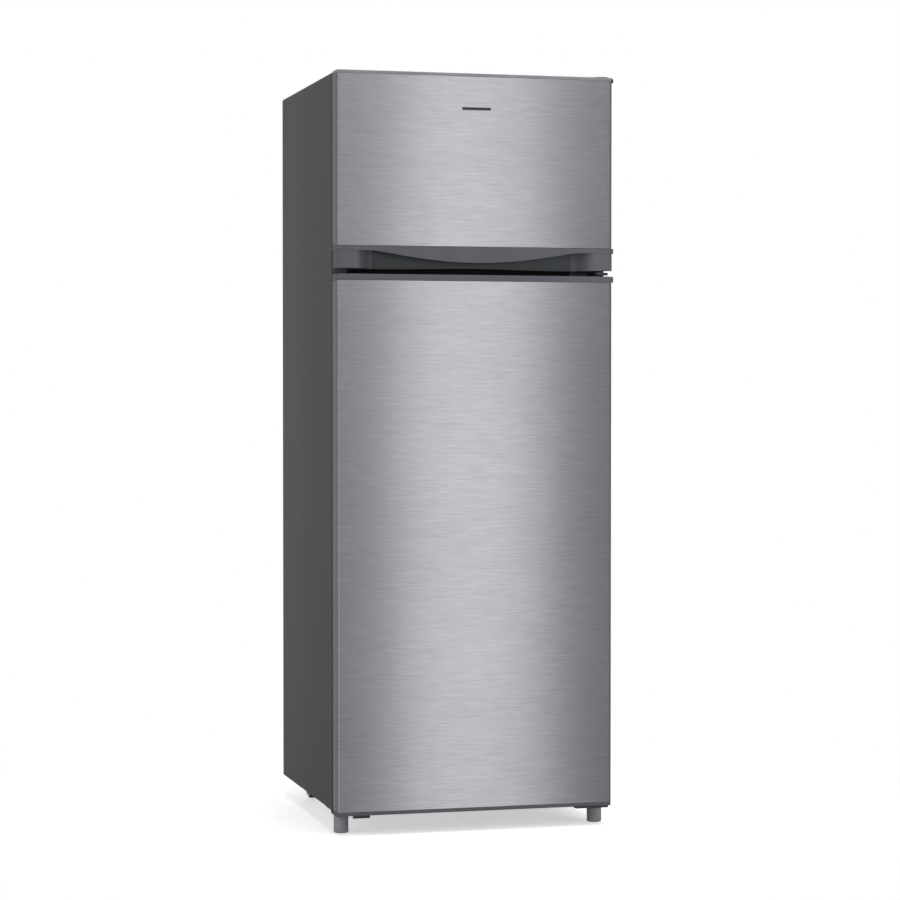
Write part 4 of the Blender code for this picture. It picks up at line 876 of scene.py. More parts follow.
@dataclass
class Studio:
    """Floor, soft lamps, surroundings and camera."""

    camera_place: Place = (-1.289, -4.985, 0.832)
    camera_yaw: float = 14.721
    camera_pitch: float = 1.329
    lens: float = 103.98
    sensor: float = 36.0
    floor_radius: float = 16.0
    floor_colour: str = "#f4f4f4"
    floor_lift: float = 0.46
    fade: Point = (0.35, 1.1)
    room_level: float = 0.235
    backdrop_level: float = 1.0
    backdrop_edge: Point = (0.93, 0.985)
    window_level: float = 0.62
    window_edge: Point = (0.6, 0.95)
    window_way: Place = (-0.77, -0.62, 0.15)
    lamps: Sequence[SoftBox] = (
        SoftBox("key", (0.82, -3.3, 0.45), (0.0, -0.275, 0.6), (0.8, 3.6), 10.2),
        SoftBox("right_fill", (1.2, -1.3, 1.1), (0.2, -0.275, 0.95), (0.5, 1.6), 12.0, False),
        SoftBox("front_fill", (-2.6, -3.0, 1.4), (-0.1, -0.275, 0.75), (1.6, 2.4), 24.0, False),
        SoftBox("left_fill", (-3.4, -0.4, 1.6), (-0.27, 0.0, 0.75), (1.6, 2.2), 32.0, False),
        SoftBox("back_fill", (1.1, 3.9, 0.75), (0.0, 0.25, 0.75), (1.8, 1.3), 60.0),
        SoftBox("overhead", (0.2, -0.6, 3.6), (0.0, 0.0, 0.8), (2.2, 2.2), 70.0),
    )

    def floor(self) -> None:
        """Lay a pale floor that keeps the shadow near the object and fades to white further out."""
        deselect()
        bpy.ops.mesh.primitive_circle_add(vertices=96, radius=self.floor_radius, fill_type="NGON",
                                          location=(0, 0, -0.5 * MM))
        piece = named("floor")
        piece.visible_glossy = False
        piece.visible_shadow = False
        bpy.ops.object.transform_apply(location=True, rotation=True, scale=True)
        made = bpy.data.materials.new("studio_floor")
        made.use_nodes = True
        tree = made.node_tree
        ray = add(tree, "LightPath")
        lift = add(tree, "Math", {0: ray.outputs["Is Camera Ray"], 1: self.floor_lift}, operation="MULTIPLY")
        shader = tree.nodes["Principled BSDF"]
        connect(tree, shader, {
            "Base Color": linear(self.floor_colour), "Roughness": 0.9, "Specular IOR Level": 0.1,
            "Emission Color": (1, 1, 1, 1), "Emission Strength": lift.outputs["Value"],
        })
        spot = add(tree, "TexCoord")
        reach = add(tree, "VectorMath", {0: spot.outputs["Object"]}, operation="LENGTH")
        fade = add(tree, "MapRange", {
            "Value": reach.outputs["Value"], "From Min": self.fade[0], "From Max": self.fade[1],
        }, interpolation_type="SMOOTHSTEP")
        white = add(tree, "Emission", {"Strength": 1.0})
        shown = add(tree, "MixShader", {
            0: fade.outputs["Result"], 1: shader.outputs["BSDF"], 2: white.outputs["Emission"],
        })
        connect(tree, tree.nodes["Material Output"], {"Surface": shown.outputs["Shader"]})
        piece.data.materials.append(made)

    def surroundings(self) -> None:
        """Surround the object with a dim room and a white backdrop, and with white to camera rays."""
        world = bpy.data.worlds.new("studio")
        bpy.context.scene.world = world
        world.use_nodes = True
        tree = world.node_tree
        way = add(tree, "TexCoord")
        yaw = math.radians(self.camera_yaw)
        levels = []
        for towards, edge, low, high in (
            ((math.sin(yaw), math.cos(yaw), 0.0), self.backdrop_edge, self.room_level, self.backdrop_level),
            (self.window_way, self.window_edge, 0.0, self.window_level),
        ):
            facing = add(tree, "VectorMath", {0: way.outputs["Generated"], 1: towards},
                         operation="DOT_PRODUCT")
            levels.append(add(tree, "MapRange", {
                "Value": facing.outputs["Value"], "From Min": edge[0], "From Max": edge[1],
                "To Min": low, "To Max": high,
            }, interpolation_type="SMOOTHSTEP"))
        room = add(tree, "Math", {i: level.outputs["Result"] for i, level in enumerate(levels)},
                   operation="MAXIMUM")
        ray = add(tree, "LightPath")
        shown = add(tree, "Math", {0: room.outputs["Value"], 1: ray.outputs["Is Camera Ray"]},
                    operation="MAXIMUM")
        connect(tree, tree.nodes["Background"], {"Strength": shown.outputs["Value"], "Color": (1, 1, 1, 1)})

    def camera(self) -> None:
        """Set up the camera at eye level, a little to the left of the doors."""
        deselect()
        turn = (math.radians(90 - self.camera_pitch), 0.0, math.radians(-self.camera_yaw))
        bpy.ops.object.camera_add(location=self.camera_place, rotation=turn)
        camera = bpy.context.object
        camera.data.lens = self.lens
        camera.data.sensor_width = self.sensor
        bpy.context.scene.camera = camera

    def build(self) -> None:
        """Set up the whole studio."""
        self.floor()
        self.surroundings()
        for lamp in self.lamps:
            lamp.hang()
        self.camera()
        bpy.context.scene.view_settings.view_transform = "Standard"


# ---------------------------------------------------------------- doors


@dataclass
class Gasket:
    """Magnetic door seal with its bellows."""

    node: str
    body: str
    width_mm: float = 16.0
    corner: float = 6 * MM

    def build(self) -> Piece:
        """Sweep the bellows' section round the door.

        Returns:
            The seal as one frame.
        """
        x, y, z = spans(self.node)
        half = [(3.0, 0), (2.6, 0.16), (0.9, 0.26), (2.4, 0.42), (0.3, 0.56), (0.0, 0.88), (0.7, 1.0)]
        section = half + [(self.width_mm - across, share) for across, share in half[::-1]]
        rings = [
            flat_ring(rounded(shrunk(x, across * MM), shrunk(z, across * MM), self.corner, 4), "Y",
                      part_way(y, share))
            for across, share in section
        ]
        return place(loft(self.node + "_bellows", rings, True), self.body, SEAL, [self.node], 50)


@dataclass
class DoorLiner:
    """Vacuum formed inner sheet of a door, with the hollow ridge round its bins."""

    node: str
    body: str
    space: Space
    gap: float = 10 * MM
    ridge: float = 20 * MM
    corner: float = 10 * MM
    crest: float = 5 * MM
    foot: float = 2 * MM

    def ring(self, inset: float, y: float) -> list[Vector]:
        """Return the ridge's outline as a ring.

        Args:
            inset: How far it is shrunk.
            y: Its depth.

        Returns:
            The ring's points.
        """
        inset += self.gap
        return flat_ring(rounded(shrunk((-self.space.half, self.space.half), inset),
                                 shrunk((self.space.floor, self.space.ceiling), inset), self.corner), "Y", y)

    def build(self) -> Piece:
        """Loft the sheet over its ridge and back along its inner side.

        Returns:
            The door's liner.
        """
        x, y, z = spans(self.node)
        face, top = PLAN.door_back, y[1]
        crest, ridge, foot = self.crest, self.ridge, self.foot
        outside = [(ridge + foot, face), (ridge, face + foot)]
        outside += arc((ridge - crest, top - crest), crest, 0, 90, 6)
        outside += arc((crest, top - crest), crest, 90, 180, 6)
        outside += [(0.0, face + foot), (-foot, face)]
        inside = [(SHEET, face - SHEET), (SHEET, top - crest - SHEET), (crest, top - SHEET)]
        inside += [(ridge - inset, depth) for inset, depth in inside[::-1]]
        rings = [self.ring(inset, depth) for inset, depth in outside]
        rings += [flat_ring(rounded(x, z, 1 * MM), "Y", depth) for depth in (face, face - SHEET)]
        rings += [self.ring(inset, depth) for inset, depth in inside]
        return place(loft(self.node + "_sheet", rings), self.body, LINER, [self.node], 40)


@dataclass
class DoorBin:
    """Clear moulded bin on a door, with a thick rim and three ribs round it."""

    node: str
    body: str
    corner: float = 14 * MM
    ribs: Sequence[float] = (0.34, 0.48, 0.62)

    def build(self) -> Piece:
        """Loft the bin from its foot up over its rim and down inside.

        Returns:
            The bin.
        """
        x, y, z = spans(self.node)
        low, high = z
        profile = steps(low, (2.2, 0), (0.9, 0.5), (0.3, 1.6), (0.6, 4))
        for share in self.ribs:
            profile += steps(part_way(z, share), (0.6, -1.2), (0.1, 0), (0.6, 1.2))
        profile += steps(high, (0.6, -6), (0, -5.5), (0, -1), (0.5, 0), (2, 0), (2.5, -1), (2.2, -7))
        profile += steps(low, (2.2, 5), (4, 2.4), (6, 2))
        tray = tub(self.node + "_moulded", x, y, self.corner, profile)
        return place(tray, self.body, CLEAR, [self.node], 40)


@dataclass
class Door:
    """One door: its brushed steel pan, its caps, its liner, its seal and its bins."""

    prefix: str
    space: Space
    bins: Sequence[str]
    sheet: float = 1 * MM
    lip: float = 8 * MM
    fold: float = 0.4 * MM

    def skin(self) -> Piece:
        """Fold the steel pan: the front, the two sides and a lip behind each side.

        Returns:
            The pan.
        """
        node = self.prefix + "_skin"
        outer = PLAN.door()
        back = PLAN.door_back
        inner = PLAN.door(self.sheet, back - self.sheet)
        lip = PLAN.side - self.lip
        outline = outer[:-2] + [(PLAN.side - self.fold, back), (lip, back), (lip, back - self.sheet)]
        outline += inner[::-1][1:] + [inner[-1]]
        outline += [(-lip, back - self.sheet), (-lip, back), (self.fold - PLAN.side, back)]
        return place(slab(node + "_pan", outline, "Z", spans(node)[2]), self.prefix, STAINLESS, [node], 30)

    def cap(self, node: str, knuckle: bool) -> Piece:
        """Model a moulded cap with a soft edge and the bore for its hinge pin.

        Args:
            node: The cap's node.
            knuckle: Whether it carries the hinge's knuckle.

        Returns:
            The cap.
        """
        low, high = spans(node)[2]
        skin = spans(self.prefix + "_skin")[2]
        if node.endswith("top_cap"):
            low = skin[1] + PLAN.clear
        else:
            high = skin[0] - PLAN.clear
        shape = slab(node + "_moulded", PLAN.door(knuckle=knuckle, ledge=knuckle), "Z", (low, high))
        bevel(shape, 0.8, 3, 50)
        at_top = knuckle or node == "freezer_door_top_cap"
        depth = (high - 5 * MM, high + 1 * MM) if at_top else (low - 1 * MM, low + 5 * MM)
        carve(shape, rod("bore", PLAN.hinge_bore, depth, "Z", PLAN.hinge))
        # The freezer's top cap takes the lighter copy of the trim, which is painted light.
        return place(shape, self.prefix, TOP_CAP if node == "freezer_door_top_cap" else TRIM, [node], 40)

    def corner_plug(self) -> Piece:
        """Model the small dark plug that closes the top cap's end beside the hinge.

        Returns:
            The plug.
        """
        high = spans("freezer_door_top_cap")[2][1]
        plug = block("freezer_door_corner_plug", (PLAN.side - 3 * MM, PLAN.side + 3.5 * MM),
                     (PLAN.front + 4 * MM, PLAN.front + 18 * MM), (high - 10 * MM, high - 1 * MM))
        return place(bevel(plug, 2.2, 4), self.prefix, BLACK_PLASTIC, (), 50)

    def build(self) -> None:
        """Build every piece of the door."""
        self.skin()
        lower = self.prefix == "fridge_door"
        self.cap(self.prefix + "_top_cap", lower)
        if lower:
            self.cap("fridge_door_bottom_cap", False)
        else:
            self.corner_plug()
        DoorLiner(self.prefix + "_liner", self.prefix, self.space).build()
        Gasket(self.prefix + "_gasket", self.prefix).build()
        for node in self.bins:
            DoorBin(node, self.prefix).build()
        dress(FOAM, self.prefix + "_foam")


@dataclass
class HandleTrim:
    """Moulded trim below the freezer door, with the finger pocket behind its drooping fascia."""

    node: str = "freezer_door_handle"
    height: float = 42.5 * MM
    fascia_end: float = 9.5 * MM
    droop: float = 20.9 * MM
    droop_margin: float = 70 * MM
    droop_power: float = 1.2
    proud: float = 1 * MM
    fascia: float = 3 * MM
    pocket: float = 30 * MM
    pillar: float = 36 * MM
    taper: float = 37 * MM
    roof: float = 3.5 * MM
    arch: float = 2.5 * MM
    arch_share: float = 0.62
    over: float = 5 * MM

    def droop_edge(self, count: int = 40) -> list[Point]:
        """Return the fascia's lower edge seen from the front.

        Args:
            count: The straight steps in the edge.

        Returns:
            The edge, from left to right.
        """
        ends = spans(self.node)[2][0] + self.height - self.fascia_end
        reach = PLAN.side - self.droop_margin
        shares = [2 * i / count - 1 for i in range(count + 1)]
        sags = [self.droop * (1 - share * share) ** self.droop_power for share in shares]
        return [(share * reach, ends - sag) for share, sag in zip(shares, sags)]

    def pocket_plan(self, mouth_y: float, start: float = 0.0, count: int = 20) -> list[Point]:
        """Return the pocket's outline from above, with S curved ends that run into its back wall.

        Args:
            mouth_y: Where the outline is closed in front.
            start: The depth at which the curves begin.
            count: The straight steps in each curve.

        Returns:
            The outline.
        """
        right = []
        for i in range(count + 1):
            share = i / count
            depth = self.pocket * share * share * (3 - 2 * share)
            if depth >= start:
                right.append((PLAN.side - self.pillar - self.taper * share, PLAN.front + self.proud + depth))
        right.insert(0, (right[0][0], mouth_y))
        return right + [(-x, y) for x, y in right[::-1]]

    def arched(self, low: float, count: int = 24) -> list[Point]:
        """Return the low arch in the middle of the trim's lower edge.

        Args:
            low: The height of the arch's ends.
            count: The straight steps in the arch.

        Returns:
            The arch, from left to right.
        """
        reach = PLAN.side * self.arch_share
        shares = [2 * i / count - 1 for i in range(count + 1)]
        return [(share * reach, low + self.arch * (1 + math.cos(math.pi * share)) / 2) for share in shares]

    def build(self) -> Piece:
        """Model the trim with its pocket.

        Returns:
            The trim.
        """
        low = spans(self.node)[2][0]
        high = low + self.height
        ends = high - self.fascia_end
        trim = slab("freezer_door_handle_trim", PLAN.door(self.proud, None, True), "Z", (low, ends + 1 * MM))
        bevel(trim, 0.7, 3, 60)
        mouth = self.pocket_plan(PLAN.front - self.over)
        pocket = slab("pocket", mouth, "Z", (low - self.over, ends + 2 * MM))
        edge = self.arched(low)
        arch = slab("arch", edge + [(x, low - self.over) for x in (edge[-1][0], edge[0][0])], "Y",
                    (PLAN.front + self.pocket - 2 * MM, PLAN.door_back + 1 * MM))
        carve(trim, pocket, arch)
        band = slab("band", PLAN.door(knuckle=True, ledge=True), "Z", (ends, high))
        bevel(band, 0.8, 3, 60)
        behind = self.pocket_plan(PLAN.front + self.fascia, self.fascia)
        carve(band, slab("behind", behind, "Z", (ends - self.over, high - self.roof)))
        edge = self.droop_edge()
        drape = slab("drape", edge + [(x, ends + 3 * MM) for x in (edge[-1][0], edge[0][0])], "Y",
                     (PLAN.front, PLAN.front + self.fascia))
        bevel(drape, 0.7, 3, 50)
        fuse(trim, band, drape)
        carve(trim, rod("bore", PLAN.hinge_bore, (low - self.over, low + 13 * MM), "Z", PLAN.hinge))
        # The pocket's back wall gets a plate painted dark as shade.
        self.insert(low, high - self.roof)
        return place(trim, "freezer_door", TRIM, [self.node], 35)

    def insert(self, low: float, top: float) -> Piece:
        """Model the plate on the pocket's back wall, arched below like the trim, painted dark as the pocket's
        shade.

        Args:
            low: The trim's lower end.
            top: The pocket's roof.

        Returns:
            The plate.
        """
        half = PLAN.side - self.pillar - self.taper
        wall = PLAN.front + self.proud + self.pocket
        outline = [(-half, low), *self.arched(low), (half, low), (half, top), (-half, top)]
        plate = slab("pocket_shade_plate", outline, "Y", (wall - 0.6 * MM, wall + 0.1 * MM))
        return place(plate, "freezer_door", POCKET_SHADE)


@dataclass
class Badge:
    """Small plain badge bar on the freezer door, with nothing on it."""

    width: float = 56 * MM
    height: float = 5 * MM
    thick: float = 0.9 * MM
    drop: float = 66 * MM

    def build(self) -> Piece:
        """Model the bar.

        Returns:
            The badge.
        """
        bar = tile("blank_badge", around(0.0, self.width / 2), around(PLAN.top - self.drop, self.height / 2),
                   self.height * 0.35, "Y", (PLAN.front - self.thick, PLAN.front + 0.2 * MM))
        return place(bevel(bar, 0.35, 3, 50), "freezer_door", DARK_STEEL)


# ---------------------------------------------------------------- cabinet


@dataclass
class Cabinet:
    """Steel cabinet: wrap, back, hinges, brackets, feet and rollers."""

    sheet: float = 1 * MM
    corner: float = 4 * MM
    plate_half: float = 14 * MM
    plate_corner: float = 8.4 * MM
    hinge_plate: float = 1.8 * MM
    bracket: float = 3.5 * MM
    pin: float = 3.5 * MM
    thread: float = 1.25 * MM
    flutes: int = 16
    swages: int = 5
    screws_across: int = 4
    screws_up: int = 6
    over: float = 10 * MM

    def arch(self, half: float, bottom: float, top: float, radius: float) -> list[Point]:
        """Return an outline from the front, square below and round above.

        Args:
            half: Half its width.
            bottom: Its lower edge.
            top: Its upper edge.
            radius: The upper corners' radius.

        Returns:
            The outline.
        """
        right = arc((half - radius, top - radius), radius, 0, 90, 8)
        left = arc((radius - half, top - radius), radius, 90, 180, 8)
        return [(-half, bottom), (half, bottom)] + right + left

    def wrap(self) -> Piece:
        """Fold the wrap over the sides and the top, with flanges turned in at the front.

        Returns:
            The wrap.
        """
        bottom, top, side = PLAN.cabinet_bottom, PLAN.top, PLAN.side
        start, end = PLAN.cabinet_front, PLAN.cabinet_back
        shell = slab("cabinet_wrap_folded", self.arch(side, bottom, top, self.corner), "Y", (start, end))
        bevel(shell, 1.0, 3, 80)
        inner = self.arch(side - self.sheet, bottom - self.over, top - self.sheet, self.corner - self.sheet)
        hollow = slab("hollow", inner, "Y", (start + self.sheet, end + self.over))
        mouth = block("mouth", around(0.0, side - PLAN.flange), around(start, self.over),
                      (bottom - self.over, top - PLAN.flange))
        return place(carve(shell, hollow, mouth), "root", PAINTED_STEEL, ["cabinet_wrap"], 30)

    def top_hinge(self) -> None:
        """Model the top hinge's plate with its pin, its rivet and its cover."""
        pin_end = spans("top_hinge")[2][0]
        low = PLAN.top + PLAN.clear
        high = low + self.hinge_plate
        plate = tile("top_hinge_plate", around(PLAN.hinge[0], self.plate_half), spans("top_hinge")[1],
                     self.plate_corner, "Z", (low, high), 8)
        bevel(plate, 0.5, 2, 60)
        pin = steps(pin_end, (3.3, 0), (3.5, 1)) + [(self.pin, high - 0.3 * MM)]
        fuse(plate, lathe("pin", pin, "Z", PLAN.hinge, 24))
        rivet = lathe("rivet", steps(high, (5.2, -0.2), (5.0, 0.3), (3.2, 0.6)), "Z", PLAN.hinge, 24)
        place(joined("top_hinge_steel", [plate, rivet]), "root", DARK_STEEL, ["top_hinge"])
        x, y, z = spans("top_hinge_cover")
        cover = bevel(block("top_hinge_cover_moulded", x, y, z), 1.2, 4, 50)
        hollow = block("hollow", shrunk(x, SHEET), (y[0] - 5 * MM, y[1] - SHEET),
                       (z[0] - 5 * MM, high + PLAN.clear))
        place(carve(cover, hollow), "root", BLACK_PLASTIC, ["top_hinge_cover"], 40)

    def middle_hinge(self) -> None:
        """Model the middle hinge: a flange on the mullion, a tongue and a pin each way."""
        x, y, z = spans("middle_hinge")
        centre = middle_of(z)
        tongue = tile("middle_hinge_steel", around(PLAN.hinge[0], self.plate_half), y,
                      self.plate_corner, "Z", around(centre, 2.5 * MM), 8)
        flange = tile("flange", x, around(centre, 13 * MM), 4 * MM, "Y", (y[1] - 2 * MM, y[1]), 5)
        pin = steps(z[0], (3.0, 0), (3.5, 1)) + steps(z[1], (3.5, -1), (3.0, 0))
        fuse(tongue, flange, lathe("pin", pin, "Z", PLAN.hinge, 24))
        place(bevel(tongue, 0.4, 2, 70), "root", DARK_STEEL, ["middle_hinge"])
        collar = steps(centre, (3.9, 2.6), (7, 2.6), (7, 4), (3.9, 4))
        place(lathe("hinge_washer", collar, "Z", PLAN.hinge, 24, True), "root", FOOT_PLASTIC)
        heads = [screw("Y", (x[0] + 9 * MM, centre + sign * 7 * MM), y[1] - 2 * MM, -1, 3.4 * MM)
                 for sign in (-1, 1)]
        place(joined("middle_hinge_screws", heads), "root", ZINC)

    def foot_bracket(self, node: str, foot: str) -> None:
        """Press a stepped bracket with rounded bends and the bolts that hold it.

        Args:
            node: The bracket's node.
            foot: The foot whose stud passes through it.
        """
        x, y, z = spans(node)
        thick = self.bracket
        foot_x, foot_y, _ = joint_place(foot + "_screw")
        top = PLAN.cabinet_bottom - PLAN.clear
        low = spans("fridge_door_bottom_cap")[2][0] - 1.5 * MM
        step = foot_y + 23 * MM
        outline = [(y[0], low - thick), (step, low - thick), (step, top - thick), (y[1], top - thick),
                   (y[1], top), (step - thick, top), (step - thick, low), (y[0], low)]
        bracket = bevel(slab(node + "_pressed", outline, "X", x), 0.6, 2, 60)
        carve(bracket, rod("hole", 4.3 * MM, (0.0, spans(foot)[2][1] + 20 * MM), "Z", (foot_x, foot_y)))
        if node == "bottom_hinge":
            pin = steps(low, (3.5, -1)) + steps(z[1], (3.5, -1), (3.0, 0))
            fuse(bracket, lathe("pin", pin, "Z", PLAN.hinge, 24))
        else:
            lip = block("lip", (x[0] + 32 * MM, x[1]), (y[0], y[0] + 2.5 * MM),
                        (low - thick - 5 * MM, low - 1 * MM))
            fuse(bracket, bevel(lip, 0.8, 2, 60))
        place(bracket, "root", DARK_STEEL, [node])
        bolts = [screw("Z", (part_way(x, share), y[1] - 9 * MM), top - thick, -1, 4.2 * MM)
                 for share in (0.25, 0.75)]
        place(joined(node + "_bolts", bolts), "root", ZINC)

    def fluted(self, centre: Vector, reach: float, along: float, depth: float) -> list[Vector]:
        """Return a fluted circle.

        Args:
            centre: A point on its axis.
            reach: Its mean radius.
            along: Its height.
            depth: How deep the flutes are.

        Returns:
            Its points, four to a flute.
        """
        turns = [math.pi * i / (2 * self.flutes) for i in range(4 * self.flutes)]
        reaches = [reach + depth * math.cos(self.flutes * t) for t in turns]
        return [at("Z", centre[0] + r * math.cos(t), centre[1] + r * math.sin(t), along)
                for r, t in zip(reaches, turns)]

    def foot(self, node: str) -> None:
        """Mould a levelling foot with a fluted grip, round its threaded stud.

        Args:
            node: The foot's node and body.
        """
        x, _, z = spans(node)
        centre = joint_place(node + "_screw")
        radius = (x[1] - x[0]) / 2
        shoulder = spans("fridge_door_bottom_cap")[2][0] - 5.3 * MM
        grip = radius - 0.6 * MM
        rings = [(radius - 3 * MM, 0.0, 0), (radius - 1 * MM, 0.8 * MM, 0), (radius, 2.6 * MM, 0),
                 (radius, 6 * MM, 0), (grip, 7.2 * MM, 0), (grip, 8.5 * MM, 0.5 * MM),
                 (grip, shoulder - 1.5 * MM, 0.5 * MM), (grip - 1 * MM, shoulder, 0.2 * MM),
                 (grip - 2 * MM, shoulder, 0)]
        shape = loft(node + "_moulded", [self.fluted(centre, *ring) for ring in rings])
        place(shape, node, FOOT_PLASTIC, [node])
        profile = []
        for i in range(int((z[1] - shoulder) / self.thread)):
            profile += steps(shoulder - 0.5 * MM + i * self.thread, (3.5, 0), (4.0, 0.6))
        stud = lathe(node + "_stud", profile + [(3.2 * MM, z[1])], "Z", (centre[0], centre[1]), 20)
        place(stud, node, ZINC)

    def roller(self, node: str) -> None:
        """Mould a rear roller with a hub and a shallow web on each side.

        Args:
            node: The roller's node and body.
        """
        x = spans(node)[0]
        _, *middle = joint_place(node + "_spin")
        rim = middle[1] / MM
        side = [(3.3, 0), (6.5, 0), (7.0, 2.5), (rim - 4.5, 2.5), (rim - 4, 0.3), (rim - 1, 0.3), (rim, 1.4)]
        profile = steps(x[0], *side) + steps(x[1], *[(r, -depth) for r, depth in side[::-1]])
        wheel = lathe(node + "_moulded", profile, "X", middle, 40, True)
        place(wheel, node, BLACK_PLASTIC, [node])

    def axle(self) -> None:
        """Turn the rear axle with chamfered ends."""
        x = spans("rear_axle")[0]
        _, *middle = joint_place("rear_roller_left_spin")
        profile = steps(x[0], (2.3, 0), (3, 0.8)) + steps(x[1], (3, -0.8), (2.3, 0))
        place(lathe("rear_axle_turned", profile, "X", middle, 24), "root", ZINC, ["rear_axle"])

    def back(self) -> None:
        """Press the back panel's swages and drive its screws."""
        x, y, z = spans("back_panel")
        panel = slab("back_panel_pressed", self.arch(x[1], z[0], z[1], 3 * MM), "Y", y)
        for i in range(self.swages):
            middle = part_way(z, (i + 0.5) / self.swages)
            swage = tile("swage", shrunk(x, 60 * MM), around(middle, 9 * MM), 8.9 * MM, "Y",
                         (y[1] - 0.5 * MM, y[1] + 1.6 * MM), 8)
            fuse(panel, bevel(swage, 1.2, 3, 60))
        place(panel, "root", ZINC, ["back_panel"])
        rows = [part_way(z, (i + 0.5) / self.screws_up) for i in range(self.screws_up)]
        columns = [part_way(x, (i + 0.5) / self.screws_across) for i in range(self.screws_across)]
        places = [(side, 0.0, row) for side in shrunk(x, 8 * MM) for row in rows]
        places += [(column, 0.0, end) for column in columns for end in shrunk(z, 8 * MM)]
        heads = copied(screw("Y", (0.0, 0.0), y[1], 1, 3.4 * MM), places)
        place(joined("back_panel_screws", heads), "root", ZINC)

    def build(self) -> None:
        """Build every piece of the cabinet."""
        self.wrap()
        self.top_hinge()
        self.middle_hinge()
        self.foot_bracket("bottom_hinge", "front_foot_right")
        self.foot_bracket("left_foot_bracket", "front_foot_left")
        for node in ("front_foot_left", "front_foot_right"):
            self.foot(node)
        for node in ("rear_roller_left", "rear_roller_right"):
            self.roller(node)
        self.axle()
        self.back()
        # The mullion strip is painted near black as shade for the gap between the doors.
        dress(GAP_SHADE, "mullion_plate")
        dress(ZINC, "cabinet_base", "compressor_plate")
        dress(FOAM, "insulation_foam")


# ---------------------------------------------------------------- inside


def ledge_pair(half: float, top: float, ends: Point, width: float = 8 * MM) -> list[Piece]:
    """Model the two moulded ledges that one shelf lies on.

    Args:
        half: Half the compartment's width.
        top: The shelf's underside.
        ends: Where the ledges start and end.
        width: How far they stand out.

    Returns:
        The left and the right ledge.
    """
    ledges = []
    for sign in (-1, 1):
        inner, outer = sign * (half - width), sign * (half + 0.7 * MM)
        rail = block("ledge", (min(inner, outer), max(inner, outer)), ends, (top - 10.3 * MM, top - 0.3 * MM))
        ledges.append(bevel(rail, 1.6, 3))
    return ledges


@dataclass
class FreezerBox:
    """Freezer compartment: its liner with the shelf's ledges, and the shelf."""

    corner: float = 14 * MM
    rib_places: Sequence[float] = (-150 * MM, -90 * MM, -30 * MM, 30 * MM, 90 * MM, 150 * MM)
    swages: int = 9

    def liner(self) -> Piece:
        """Form the liner with a rounded mouth, ledges and the ribs over the evaporator.

        Returns:
            The liner.
        """
        x, y, z = spans("freezer_liner")
        width, height = (-FREEZER.half, FREEZER.half), (FREEZER.floor, FREEZER.ceiling)
        shell = tile("freezer_liner_formed", shrunk(width, -SHEET), shrunk(height, -SHEET), self.corner, "Y",
                     y, 8)
        fuse(shell, tile("flange", x, z, 1 * MM, "Y", (y[0], y[0] + SHEET), 3))
        hollow = tile("hollow", width, height, self.corner, "Y", (y[0] - 20 * MM, FREEZER.back), 8)
        carve(shell, bevel(hollow, 8, 4, 70))
        shelf = spans("freezer_shelf")
        rails = ledge_pair(FREEZER.half, shelf[2][0], (shelf[1][0], FREEZER.back + 1 * MM))
        ribs = [block("rib", around(middle, 1.5 * MM), (FREEZER.back - 2 * MM, FREEZER.back + 0.5 * MM),
                      (FREEZER.floor + 60 * MM, FREEZER.ceiling - 50 * MM))
                for middle in self.rib_places]
        fuse(shell, *rails, *[bevel(rib, 0.9) for rib in ribs])
        return place(shell, "root", LINER, ["freezer_liner"])

    def shelf(self) -> Piece:
        """Press the aluminium shelf with its rim and its long stiffening swages.

        Returns:
            The shelf.
        """
        x, y, z = spans("freezer_shelf")
        plate = block("freezer_shelf_pressed", x, y, (z[0], z[0] + 3 * MM))
        fuse(plate, bevel(block("rim", x, (y[0], y[0] + 3 * MM), z), 1.2, 3))
        for i in range(self.swages):
            middle = part_way(x, (i + 0.5) / self.swages)
            swage = tile("swage", around(middle, 8 * MM), (y[0] + 24 * MM, y[1] - 18 * MM), 7.9 * MM, "Z",
                         (z[0] + 1.8 * MM, z[0] + 5 * MM), 5)
            carve(plate, bevel(swage, 1.0, 2, 60))
        return place(plate, "root", ALUMINIUM, ["freezer_shelf"])

    def build(self) -> None:
        """Build the compartment."""
        self.liner()
        self.shelf()


@dataclass
class GlassShelf:
    """Glass shelf with ground edges and the moulded trim that grips its front."""

    name: str
    groove: float = 5 * MM
    nose: float = 3 * MM

    def build(self) -> None:
        """Cut the glass and mould the trim."""
        glass, trim = self.name + "_glass", self.name + "_trim"
        x, y, z = spans(glass)
        pane = tile(glass + "_ground", x, y, 4 * MM, "Z", z, 5)
        place(bevel(pane, 0.8, 2, 60), "root", GLASS, [glass], 30)
        _, (front, back), (low, high) = spans(trim)
        turns = [math.pi * i / 12 for i in range(1, 12)]
        chamfer, flat, seat, play = 0.8 * MM, front + self.nose + 0.2 * MM, front + self.groove, 0.3 * MM
        middle, half = middle_of((low, high)), (high - low) / 2
        outline = [(back, high - chamfer), (back - chamfer, high), (flat, high)]
        outline += [(front + self.nose * (1 - math.sin(t)), middle + half * math.cos(t)) for t in turns]
        outline += [(flat, low), (back - chamfer, low), (back, low + chamfer)]
        outline += [(back, z[0] - play), (seat, z[0] - play), (seat, z[1] + play), (back, z[1] + play)]
        place(bevel(slab(trim + "_moulded", outline, "X", x), 0.5, 2, 65), "root", LINER, [trim])


